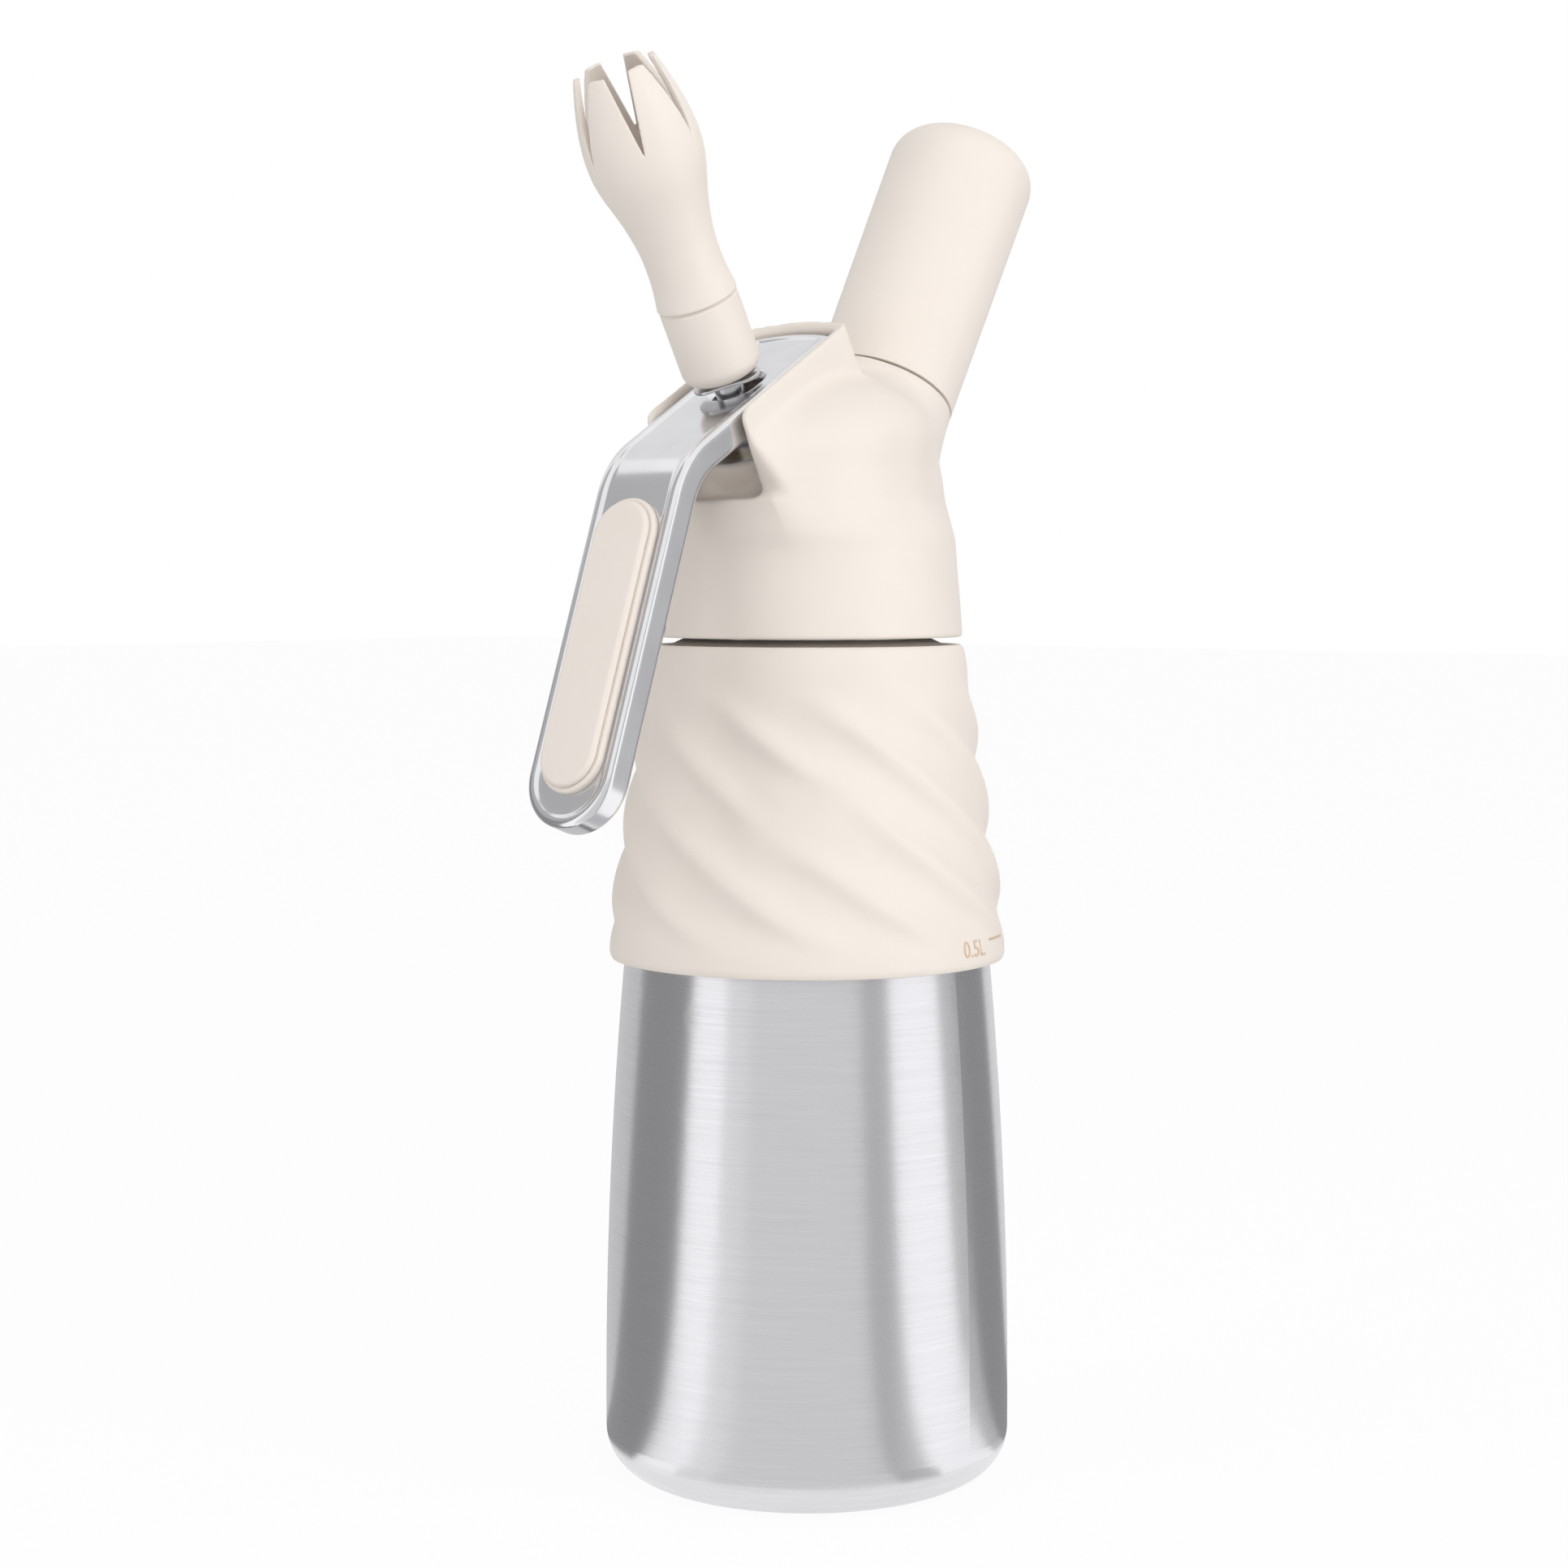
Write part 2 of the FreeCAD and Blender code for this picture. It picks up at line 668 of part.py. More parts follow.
def channel(label, over, under, width, short):
    """The lever's side outline between two depths below its outer face."""
    along_y = -cosine(S.lever_bend)
    along_z = -sine(S.lever_bend)
    in_y = sine(S.lever_bend)
    in_z = -cosine(S.lever_bend)
    bend_y = -(S.lever_shoulder - bend_reach)
    end = S.lever_length - short
    start_y = lever_back - short

    def on_handle(reach, depth):
        y = -S.lever_shoulder + along_y * reach + in_y * depth
        z = plate_rise + along_z * reach + in_z * depth
        return y, z

    top_bend = on_handle(bend_reach, over)
    top_end = on_handle(end, over)
    low_end = on_handle(end, under)
    low_bend = on_handle(bend_reach, under)
    return pressed(label, "YZ_Plane", [
        (start_y, plate_rise - over),
        (start_y, plate_rise - under),
        (bend_y, plate_rise - under, S.lever_bend_radius - under, "left"),
        (low_bend[0], low_bend[1]),
        (low_end[0], low_end[1]),
        (top_end[0], top_end[1]),
        (top_bend[0], top_bend[1], S.lever_bend_radius - over, "right"),
        (bend_y, plate_rise - over),
    ], width, **VALVE)


handle_lean = S.valve_tilt + S.lever_bend
handle_y, handle_z = leaning_point(-S.lever_shoulder, plate_rise, S.valve_tilt, cross_height)
HANDLE = {"y": handle_y, "z": handle_z, "lean": handle_lean}
handle_end = S.lever_length - S.lever_half_width
handle_plan = slot_plate("handle_plan", -handle_end, S.lever_length * 2, S.lever_half_width,
                         S.lever_length * 4)
sunk_y = handle_y + sine(handle_lean) * S.lever_length * 2
sunk_z = handle_z - cosine(handle_lean) * S.lever_length * 2
put(handle_plan, y=sunk_y, z=sunk_z, lean=handle_lean)
inner_half = S.lever_half_width - S.lever_flange
inner_plan = slot_plate("inner_plan", -handle_end, S.lever_length * 2, inner_half,
                        S.lever_length * 4)
put(inner_plan, y=sunk_y, z=sunk_z, lean=handle_lean)
lever_outer = shared("lever_outer", channel("lever_block", ZERO, S.lever_depth,
                                            S.lever_half_width * 2, ZERO), handle_plan)
lever_inner = shared("lever_inner", channel("lever_hollow", S.lever_plate, S.lever_depth + S.overshoot,
                                            inner_half * 2, ZERO), inner_plan)
ears = cross_bar("ears", S.pivot_ear, S.lever_half_width, S.pivot_back, S.pivot_rise,
                 S.valve_tilt, cross_height)
ear_gap = block("ear_gap", inner_half, S.pivot_back - S.pivot_ear - S.overshoot,
                S.pivot_back + S.pivot_ear + S.overshoot, S.pivot_rise - S.pivot_ear - S.overshoot,
                plate_rise - S.lever_plate, **VALVE)
pin_hole = cross_bar("pin_hole", S.pin_radius + S.running_gap, S.lever_half_width + S.overshoot,
                     S.pivot_back, S.pivot_rise, S.valve_tilt, cross_height)
stem_hole = slot_plate("stem_hole", -(S.hole_half_length - S.hole_half_width),
                       S.hole_half_length - S.hole_half_width, S.hole_half_width,
                       S.lever_plate * 3)
hole_y, hole_z = leaning_point(ZERO, plate_rise - S.lever_plate * 2, S.valve_tilt,
                               cross_height)
put(stem_hole, y=hole_y, z=hole_z, lean=S.valve_tilt)
lever = cut("lever", joined("lever_form", lever_outer, ears), lever_inner, ear_gap, pin_hole,
            stem_hole)
lever_pin = cross_bar("lever_pin", S.pin_radius, pin_half, S.pivot_back, S.pivot_rise,
                      S.valve_tilt, cross_height)

# The thumb pad on the handle: a hard base and a soft cushion, both with round ends.
pad_high = -(S.pad_start + S.pad_half_width)
pad_low = -(S.pad_start + S.pad_length - S.pad_half_width)
pad_base = slot_plate("lever_pad_base", pad_low, pad_high, S.pad_half_width + S.pad_base_border,
                      S.pad_base_thickness, **HANDLE)
pad_y = handle_y - sine(handle_lean) * S.pad_base_thickness
pad_z = handle_z + cosine(handle_lean) * S.pad_base_thickness
pad = slot_plate("lever_pad", pad_low, pad_high, S.pad_half_width, S.pad_thickness,
                 y=pad_y, z=pad_z, lean=handle_lean)

# The nozzle valve: a hollow stem with a poppet below the seat, a side port just above it
# and a flange that the spring pushes against the guide.
poppet_top = S.tower_bottom_rise - S.valve_seal_gap - S.valve_seal_thickness
stem = turned("stem_turned", [
    (ZERO, poppet_top - S.poppet_thickness),
    (S.poppet_radius, poppet_top - S.poppet_thickness),
    (S.poppet_radius, poppet_top),
    (S.stem_radius, poppet_top),
    (S.stem_radius, S.stem_flange_rise),
    (S.stem_flange_radius, S.stem_flange_rise),
    (S.stem_flange_radius, S.stem_flange_rise + S.stem_flange_thickness),
    (S.stem_radius, S.stem_flange_rise + S.stem_flange_thickness),
    (S.stem_radius, S.stem_top_rise),
    (S.stem_bore, S.stem_top_rise),
    (S.stem_bore, S.tower_bottom_rise),
    (ZERO, S.tower_bottom_rise),
], **VALVE)
port_rise = S.tower_bottom_rise + S.port_height
port = cross_bar("port", S.port_radius, S.stem_radius + S.overshoot, ZERO, port_rise, S.valve_tilt,
                 cross_height)
cross_pin_rise = plate_rise - S.lever_plate - S.cross_pin_gap - S.cross_pin_radius
cross_pin_hole = cross_bar("cross_pin_hole", S.cross_pin_radius, S.stem_radius + S.overshoot, ZERO,
                           cross_pin_rise, S.valve_tilt, cross_height)
valve_stem = cut("valve_stem", stem, port, cross_pin_hole)
cross_pin = cross_bar("stem_cross_pin", S.cross_pin_radius, S.cross_pin_half, ZERO,
                      cross_pin_rise, S.valve_tilt, cross_height)
valve_seal = turned("valve_seal", [
    (S.stem_radius, poppet_top),
    (S.poppet_radius, poppet_top),
    (S.poppet_radius, poppet_top + S.valve_seal_thickness),
    (S.stem_radius, poppet_top + S.valve_seal_thickness),
], **VALVE)
stem_ring = turned("stem_ring", [
    (S.stem_radius + S.running_gap, S.seal_groove_rise + S.ring_gap),
    (S.stem_radius + S.seal_groove_depth, S.seal_groove_rise + S.ring_gap),
    (S.stem_radius + S.seal_groove_depth, S.seal_groove_rise + S.seal_groove_width - S.ring_gap),
    (S.stem_radius + S.running_gap, S.seal_groove_rise + S.seal_groove_width - S.ring_gap),
], **VALVE)
guide_low = S.stem_flange_rise + S.stem_flange_thickness + S.guide_gap
valve_guide = turned("valve_guide", [
    (S.stem_radius + S.running_gap, guide_low),
    (S.spring_bore, guide_low),
    (S.spring_bore, S.tower_top_rise),
    (S.stem_radius + S.running_gap, S.tower_top_rise),
], **VALVE)
clip_low = plate_rise + S.clip_gap
clip_plate = slot_plate("clip_plate", -(S.clip_half_length - S.clip_half_width),
                        S.clip_half_length - S.clip_half_width, S.clip_half_width,
                        S.clip_thickness)
clip_y, clip_z = leaning_point(ZERO, clip_low, S.valve_tilt, cross_height)
put(clip_plate, y=clip_y, z=clip_z, lean=S.valve_tilt)
clip_hole = post("clip_hole", S.stem_radius, clip_low - S.overshoot,
                 clip_low + S.clip_thickness + S.overshoot, **VALVE)
stem_clip = cut("stem_clip", clip_plate, clip_hole)


def coil(label, radius, wire, turns, low, high, frame):
    """A spring between two rises of a leaning frame.

    Each half turn is half a ring, tilted about Y so that it climbs. The halves meet with
    the same direction, so the wire runs on smoothly."""
    rise = (high - low - wire * 2) / (turns * 2)
    climb = rise / (radius * 2)
    tilt = Size(math.degrees(math.asin(climb.number)), f"asin({climb.formula})")
    flip = math.radians(tilt.number / 2)
    halves = []
    for number in range(round(turns.number * 2)):
        ring = doc.addObject("Part::Torus", f"{label}_half_{number}")
        bind(ring, Radius1=radius, Radius2=wire)
        ring.Angle3 = 180
        level = rise * (number + 0.5)
        if number % 2:
            put(ring, z=level, lean=Size.of(180), axis=(math.cos(flip), 0, math.sin(flip)))
        else:
            put(ring, z=level, lean=tilt, axis=(0, 1, 0))
        halves.append(ring)
    rest = low + wire
    lean = frame["lean"]
    spring = joined(label, *halves)
    return put(spring, y=-(rest * sine(lean)), z=frame["z"] + rest * cosine(lean), lean=lean)


valve_spring = coil("valve_spring", S.spring_radius, S.spring_wire, S.spring_turns,
                    S.ledge_rise, S.stem_flange_rise, VALVE)

# The tip adapter: the smooth collar screwed to the stem's top, with a nipple for the tip.
adapter = turned("tip_adapter", [
    (S.stem_radius, S.adapter_bottom_rise),
    (S.adapter_radius - S.adapter_corner, S.adapter_bottom_rise, S.adapter_corner, "left"),
    (S.adapter_radius, S.adapter_bottom_rise + S.adapter_corner),
    (S.adapter_radius, S.adapter_top_rise),
    (S.adapter_groove_radius, S.tip_bottom_rise - S.fit_gap * 0.5),
    (S.nipple_radius, S.tip_bottom_rise - S.fit_gap * 0.5),
    (S.nipple_radius, S.tip_bottom_rise + S.nipple_length),
    (S.nipple_bore, S.tip_bottom_rise + S.nipple_length),
    (S.nipple_bore, S.stem_top_rise),
    (S.stem_radius, S.stem_top_rise),
], **VALVE)

# The tulip tip: a slim waist, a bulb and blunt tines between deep pointed cuts.
tip_top = S.tip_bottom_rise + S.tip_length
neck_rise = S.tip_bottom_rise + S.tip_neck
bulb_rise = S.tip_bottom_rise + S.tip_bulb
swell_rise = S.tip_bottom_rise + (S.tip_neck + S.tip_bulb) * 0.5
swell_radius = (S.tip_neck_radius + S.tip_bulb_radius) * 0.5
socket_top = S.tip_bottom_rise + S.nipple_length + S.fit_gap
tip_form = turned("tip_form", [
    (S.nipple_radius + S.running_gap, S.tip_bottom_rise),
    (S.tip_foot_radius, S.tip_bottom_rise),
    (S.tip_neck_radius, neck_rise, S.tip_waist_arc, "right"),
    (swell_radius, swell_rise, S.tip_bulb_arc, "left"),
    (S.tip_bulb_radius, bulb_rise, S.tip_crown_arc, "left"),
    (S.tip_mouth_radius, tip_top),
    (S.tip_mouth_radius - S.tip_wall, tip_top, S.tip_crown_arc - S.tip_wall, "right"),
    (S.tip_bulb_radius - S.tip_wall, bulb_rise, S.tip_bulb_arc - S.tip_wall, "right"),
    (swell_radius - S.tip_wall, swell_rise),
    (S.nipple_bore, socket_top + S.tip_web),
    (S.nipple_bore, socket_top),
    (S.nipple_radius + S.running_gap, socket_top),
])
tip_wedges = []
for number in range(SIZES["tip_cuts"] // 2):
    turn = S.tip_turn + Size.of(360) / S.tip_cuts * number
    tip_wedges.append(pressed(f"tip_wedge_{number}", "XZ_Plane", [
        (ZERO, tip_top - S.tip_cut_depth),
        (S.tip_cut_width, tip_top + S.overshoot),
        (-S.tip_cut_width, tip_top + S.overshoot),
    ], S.tip_length, lean=turn, axis=(0, 0, 1)))
tulip_tip = put(cut("tulip_tip", tip_form, *tip_wedges), **VALVE)

# The gas inlet: a plug with a one-way valve, a hollow piercing pin and a seal.
chamber_bottom = plug_bottom + S.chamber_floor
chamber_top = S.plug_top_rise - S.chamber_roof
plug = turned("inlet_plug", [
    (S.check_port_radius, plug_bottom),
    (S.plug_radius, plug_bottom),
    (S.plug_radius, S.plug_top_rise),
    (S.piercer_radius, S.plug_top_rise),
    (S.piercer_radius, S.plug_top_rise - S.piercer_foot),
    (S.piercer_bore, S.plug_top_rise - S.piercer_foot),
    (S.piercer_bore, chamber_top),
    (S.chamber_radius, chamber_top),
    (S.chamber_radius, chamber_bottom),
    (S.check_port_radius, chamber_bottom),
], **INLET)
piercer_top = S.plug_top_rise + S.piercer_reach
piercer = turned("piercing_pin", [
    (S.piercer_bore, S.plug_top_rise - S.piercer_foot),
    (S.piercer_radius, S.plug_top_rise - S.piercer_foot),
    (S.piercer_radius, piercer_top - S.piercer_point),
    (S.piercer_bore + S.piercer_edge, piercer_top),
    (S.piercer_bore, piercer_top),
], **INLET)
charger_seal = turned("charger_seal", [
    (S.piercer_radius, S.plug_top_rise),
    (S.charger_seal_radius, S.plug_top_rise),
    (S.charger_seal_radius, S.plug_top_rise + S.charger_seal_thickness),
    (S.piercer_radius, S.plug_top_rise + S.charger_seal_thickness),
], **INLET)
check_top = chamber_top - S.fit_gap * 0.5
check_poppet = turned("check_poppet", [
    (ZERO, check_top - S.check_thickness),
    (S.check_radius, check_top - S.check_thickness),
    (S.check_radius, check_top - S.check_taper),
    (S.piercer_radius, check_top),
    (ZERO, check_top),
], **INLET)
check_spring = coil("check_spring", S.check_radius - S.check_wire * 2, S.check_wire,
                    S.check_turns, chamber_bottom, check_top - S.check_thickness, INLET)

# The charger: a steel capsule, drawn pierced, with its neck down on the seal.
charger_low = S.plug_top_rise + S.charger_seal_thickness + S.charger_gap
charger_high = charger_low + S.charger_length
charger_side = charger_high - S.charger_radius
charger_core = S.charger_radius - S.charger_wall
pierced = S.piercer_radius + S.running_gap
charger = turned("gas_charger", [
    (pierced, charger_low),
    (S.charger_neck_radius, charger_low),
    (S.charger_neck_radius, charger_low + S.charger_neck),
    (S.charger_radius, charger_low + S.charger_shoulder),
    (S.charger_radius, charger_side, S.charger_radius, "left"),
    (ZERO, charger_high),
    (ZERO, charger_high - S.charger_wall, charger_core, "right"),
    (charger_core, charger_side),
    (charger_core, charger_low + S.charger_shoulder + S.charger_wall * 0.5),
    (pierced, charger_low + S.charger_neck),
], **INLET)

# The charger holder: a smooth cup with a rounded end, and a threaded metal liner in it.
holder_low = S.inlet_seam_rise + S.seam_gap
holder_high = charger_side + S.holder_bore_radius + S.holder_end_wall
liner_inner = S.stub_radius + S.fit_gap
liner_outer = liner_inner + S.liner_wall
holder = turned("charger_holder", [
    (liner_outer, holder_low),
    (S.inlet_radius, holder_low),
    (S.holder_end_radius, holder_high - S.holder_corner - S.holder_crown, S.holder_corner, "left"),
    (S.holder_end_radius - S.holder_corner, holder_high - S.holder_crown),
    (ZERO, holder_high),
    (ZERO, charger_side + S.holder_bore_radius, S.holder_bore_radius, "right"),
    (S.holder_bore_radius, charger_side),
    (S.holder_bore_radius, holder_low + S.liner_length),
    (liner_outer, holder_low + S.liner_length),
], **INLET)
liner = turned("holder_liner", [
    (liner_inner, holder_low + S.seam_gap),
    (liner_outer, holder_low + S.seam_gap),
    (liner_outer, holder_low + S.liner_length),
    (liner_inner, holder_low + S.liner_length),
], **INLET)

parts = [bottle, sleeve, head_core, gasket, head_shell, lever, lever_pin, pad_base, pad,
         valve_stem, cross_pin, valve_seal, stem_ring, valve_guide, valve_spring, stem_clip,
         adapter, tulip_tip, plug, piercer, charger_seal, check_poppet, check_spring, charger,
         holder, liner]

doc.recompute()
for thing in doc.Objects:
    if "Invalid" in thing.State or "Error" in thing.State:
        raise RuntimeError(f"{thing.Label} failed: {thing.State}")
for part in parts:
    shape = part.Shape
    if shape.isNull() or not shape.isValid() or shape.Volume <= 0:
        raise RuntimeError(f"{part.Label} has no valid solid")
    shape.exportStep(f"parts/{part.Label}.step")
    print(part.Label, len(shape.Solids), round(shape.Volume, 1))
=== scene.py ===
# %% [markdown]
# A cream whipper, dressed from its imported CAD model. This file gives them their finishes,
# and makes the moulded and polished pieces whose soft edges and blends are worth more than
# the plain solids show.

# %% Load the frame
import json
import math

import bpy
import numpy as np
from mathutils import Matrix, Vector


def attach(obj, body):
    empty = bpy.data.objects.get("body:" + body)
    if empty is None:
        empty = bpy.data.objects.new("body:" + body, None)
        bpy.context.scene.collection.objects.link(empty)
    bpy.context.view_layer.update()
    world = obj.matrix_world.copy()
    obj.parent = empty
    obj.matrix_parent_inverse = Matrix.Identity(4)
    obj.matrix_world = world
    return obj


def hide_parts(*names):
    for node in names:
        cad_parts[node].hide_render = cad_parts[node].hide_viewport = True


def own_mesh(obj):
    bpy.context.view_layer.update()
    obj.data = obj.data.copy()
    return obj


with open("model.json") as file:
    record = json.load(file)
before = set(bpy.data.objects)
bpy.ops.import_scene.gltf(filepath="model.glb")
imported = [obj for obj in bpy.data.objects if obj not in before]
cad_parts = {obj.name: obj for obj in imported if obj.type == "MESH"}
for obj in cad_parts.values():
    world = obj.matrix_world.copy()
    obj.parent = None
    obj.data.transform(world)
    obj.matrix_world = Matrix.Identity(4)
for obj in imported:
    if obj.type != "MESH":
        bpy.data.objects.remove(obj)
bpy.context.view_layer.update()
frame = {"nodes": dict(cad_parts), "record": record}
MM = 0.001

# %% [markdown]
# The camera comes first. It stands a little above the head and looks at the whipper from
# its front left, with a long lens, so that upright lines stay nearly parallel.

# %% Camera
CAMERA_PLACE = (0.3841, -0.4808, 0.1827)
CAMERA_TILT = math.radians(86.06)
CAMERA_TURN = math.radians(39.056)
lens = bpy.data.cameras.new("studio_camera")
lens.sensor_width = 36.0
lens.lens = 69.876
lens.clip_start = 0.01
camera = bpy.data.objects.new("studio_camera", lens)
bpy.context.scene.collection.objects.link(camera)
camera.location = CAMERA_PLACE
camera.rotation_euler = (CAMERA_TILT, 0.0, CAMERA_TURN)
bpy.context.scene.camera = camera
print("camera at", tuple(round(v, 3) for v in camera.location))

# %% [markdown]
# Soft moulded shapes have no hard edges: their faces run into each other through fillets.
# A distance field says how far each point lies outside a shape, and fields can be joined
# with a fillet by one formula, which a mesh boolean with bevels can't do as evenly.


# %% Distance fields
def soft_max(a, b, fillet):
    """The overlap of two fields, with a rounded edge."""
    blend = np.maximum(fillet - np.abs(a - b), 0.0) / fillet
    return np.maximum(a, b) + blend * blend * fillet / 4


def soft_min(a, b, fillet):
    """The union of two fields, with a rounded corner."""
    return -soft_max(-a, -b, fillet)


def less(solid, hollow, fillet):
    """A field with another taken out of it."""
    return soft_max(solid, -hollow, fillet)


def smooth_step(value, low, high):
    """Climbs smoothly from 0 at low to 1 at high."""
    t = np.clip((value - low) / (high - low), 0, 1)
    return t * t * (3 - 2 * t)


# %% [markdown]
# A turned piece is drawn by its outline: a few pairs of height and radius, and a smooth
# curve through them. Each pair is easy to move by itself.


# %% A smooth curve
def curve_through(points):
    """A smooth curve through a list of (place, value) pairs."""
    xs, ys = (np.array(column, float) for column in zip(*points))
    slopes = np.gradient(ys, xs)

    def value(x):
        x = np.clip(x, xs[0], xs[-1])
        k = np.clip(np.searchsorted(xs, x) - 1, 0, len(xs) - 2)
        span = xs[k + 1] - xs[k]
        t = (x - xs[k]) / span
        a = (2 * t**3 - 3 * t**2 + 1) * ys[k] + (t**3 - 2 * t**2 + t) * span * slopes[k]
        b = (3 * t**2 - 2 * t**3) * ys[k + 1] + (t**3 - t**2) * span * slopes[k + 1]
        return a + b

    return value


# %% [markdown]
# The surface is read off a fine grid. Where two neighbours lie on different sides of it,
# the line between them is crossed. Each cell takes the mean of its crossings as one point,
# and the four cells around a crossed line make a quad. At last each point is pushed onto
# the field's exact zero, which gives smooth, even shading.


# %% Carving a surface
def settle(field, points, reach, rounds=4):
    """Pushes points onto a field's zero along its steepest way."""
    tick = 0.01
    least_slope = 0.05
    for _ in range(rounds):
        here = field(points)
        slope = np.stack([(field(points + np.eye(3)[k] * tick) - here) / tick
                          for k in range(3)], -1)
        size = np.maximum((slope * slope).sum(-1), least_slope)
        step = -slope * (here / size)[:, None]
        length = np.linalg.norm(step, axis=1)
        points = points + step * np.minimum(1.0, reach / np.maximum(length, 1e-9))[:, None]
    return points


def carve(field, low, high, pitch):
    """Reads a field's surface off a grid: one point in each crossed cell, joined in quads."""
    axes = [np.arange(low[k], high[k] + pitch, pitch) for k in range(3)]
    values = np.empty([len(a) for a in axes])
    layers = 8
    for start in range(0, len(axes[0]), layers):
        slab = np.stack(np.meshgrid(axes[0][start:start + layers], axes[1], axes[2],
                                    indexing="ij"), -1)
        values[start:start + layers] = field(slab.reshape(-1, 3)).reshape(slab.shape[:3])
    cells = [n - 1 for n in values.shape]
    total = np.zeros(cells + [3])
    count = np.zeros(cells)
    crossings = []
    for a in range(3):
        b, c = (a + 1) % 3, (a + 2) % 3
        cut = [slice(None)] * 3
        cut[a] = slice(0, -1)
        first = values[tuple(cut)]
        cut[a] = slice(1, None)
        second = values[tuple(cut)]
        crossed = (first < 0) != (second < 0)
        place = np.argwhere(crossed)
        part = first[crossed] / (first[crossed] - second[crossed])
        spot = place.astype(float)
        spot[:, a] += part
        for db in (0, 1):
            for dc in (0, 1):
                cell = place.copy()
                cell[:, b] -= db
                cell[:, c] -= dc
                fine = ((cell >= 0) & (cell < cells)).all(1)
                key = tuple(cell[fine].T)
                np.add.at(total, key, spot[fine])
                np.add.at(count, key, 1)
        crossings.append((a, b, c, place, first[crossed] < 0))
    number = np.full(cells, -1)
    used = count > 0
    number[used] = np.arange(used.sum())
    points = total[used] / count[used][:, None] * pitch + np.array(low)
    faces = []
    for a, b, c, place, outward in crossings:
        ring = []
        for db, dc in ((1, 1), (0, 1), (0, 0), (1, 0)):
            cell = place.copy()
            cell[:, b] -= db
            cell[:, c] -= dc
            ring.append(cell)
        fine = np.all([((cell >= 0) & (cell < cells)).all(1) for cell in ring], axis=0)
        quad = np.stack([number[tuple(cell[fine].T)] for cell in ring], -1)
        facing = outward[fine]
        quad[~facing] = quad[~facing][:, ::-1]
        faces.append(quad)
    return settle(field, points, pitch * 0.6), np.concatenate(faces)


# %% [markdown]
# Every piece made here is a plain mesh that rides one of the frame's bodies. Most stand for
# a CAD solid, which then isn't drawn itself.


# %% Making a piece
def piece(name, points, faces, body, *nodes):
    """Makes an object from points in millimetres, which rides a body and stands for nodes."""
    mesh = bpy.data.meshes.new(name)
    mesh.from_pydata((np.asarray(points) * MM).tolist(), [],
                     faces.tolist() if hasattr(faces, "tolist") else faces)
    mesh.polygons.foreach_set("use_smooth", [True] * len(mesh.polygons))
    mesh.update()
    thing = bpy.data.objects.new(name, mesh)
    bpy.context.scene.collection.objects.link(thing)
    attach(thing, body)
    if nodes:
        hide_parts(*nodes)
    print(name, len(mesh.vertices), "points")
    return thing


# %% [markdown]
# The nozzle valve leans 30 degrees forward and the gas inlet 30 degrees back, and both
# axes cross the bottle's axis at one height. Points are easier to give along those axes,
# so two small functions turn them to and from the upright frame.

# %% The two leaning frames
CROSS = 176.8
LEAN = math.radians(30.0)


def leaning(points, lean):
    """From (across, sideways, along the axis) to the upright frame."""
    x, y, a = points.T
    s, c = math.sin(lean), math.cos(lean)
    return np.stack([x, y * c - a * s, CROSS + y * s + a * c], -1)


def to_leaning(points, lean):
    """From the upright frame to (across, sideways, along the axis)."""
    x, y, z = points[:, 0], points[:, 1], points[:, 2] - CROSS
    s, c = math.sin(lean), math.cos(lean)
    return x, y * c + z * s, z * c - y * s


# %% [markdown]
# The head's shell is one moulding. A turned skirt narrows to a waist, the inlet's boss
# grows out of its back, and two flat cheeks stand on its front with the lever between
# them. Joining the three fields with wide fillets gives the flowing neck of the real one.

# %% Head shell
skirt_line = curve_through([
    (168, 31.3), (171, 31.25), (177.4, 30.8), (184, 30.2), (187.2, 29.8), (190.5, 29.2),
    (193.7, 27.5), (197, 25.7), (200.3, 25.0), (203.5, 24.9), (207, 25.3), (211, 25.2),
    (215, 23.2), (219, 19.0), (222, 14.0), (224, 9.0)])
SKIRT_FOOT = 170.2
SHELL_TOP = 223.0
CHEEK_HALF, CHEEK_BACK = 12.6, 24.6
SLOT_HALF, SLOT_BACK, SLOT_FLOOR = 10.65, 22.6, 36.6
BACK_BOW = 1.9
TOP_PLANE = 49.7
FRONT = 13.0
NOSE_RADIUS = 4.5
RECESS_FLOOR = 197.6
BOSS_RADIUS, BOSS_TOP = 15.0, 49.6
CAP_RADIUS, CAP_ROOF, CONE_ROOF = 28.0, 190.05, 194.8


def bowed_back(x, middle, half):
    """A back edge that bulges a little in the middle of its width."""
    return middle + BACK_BOW * (1 - (x / half) ** 2)


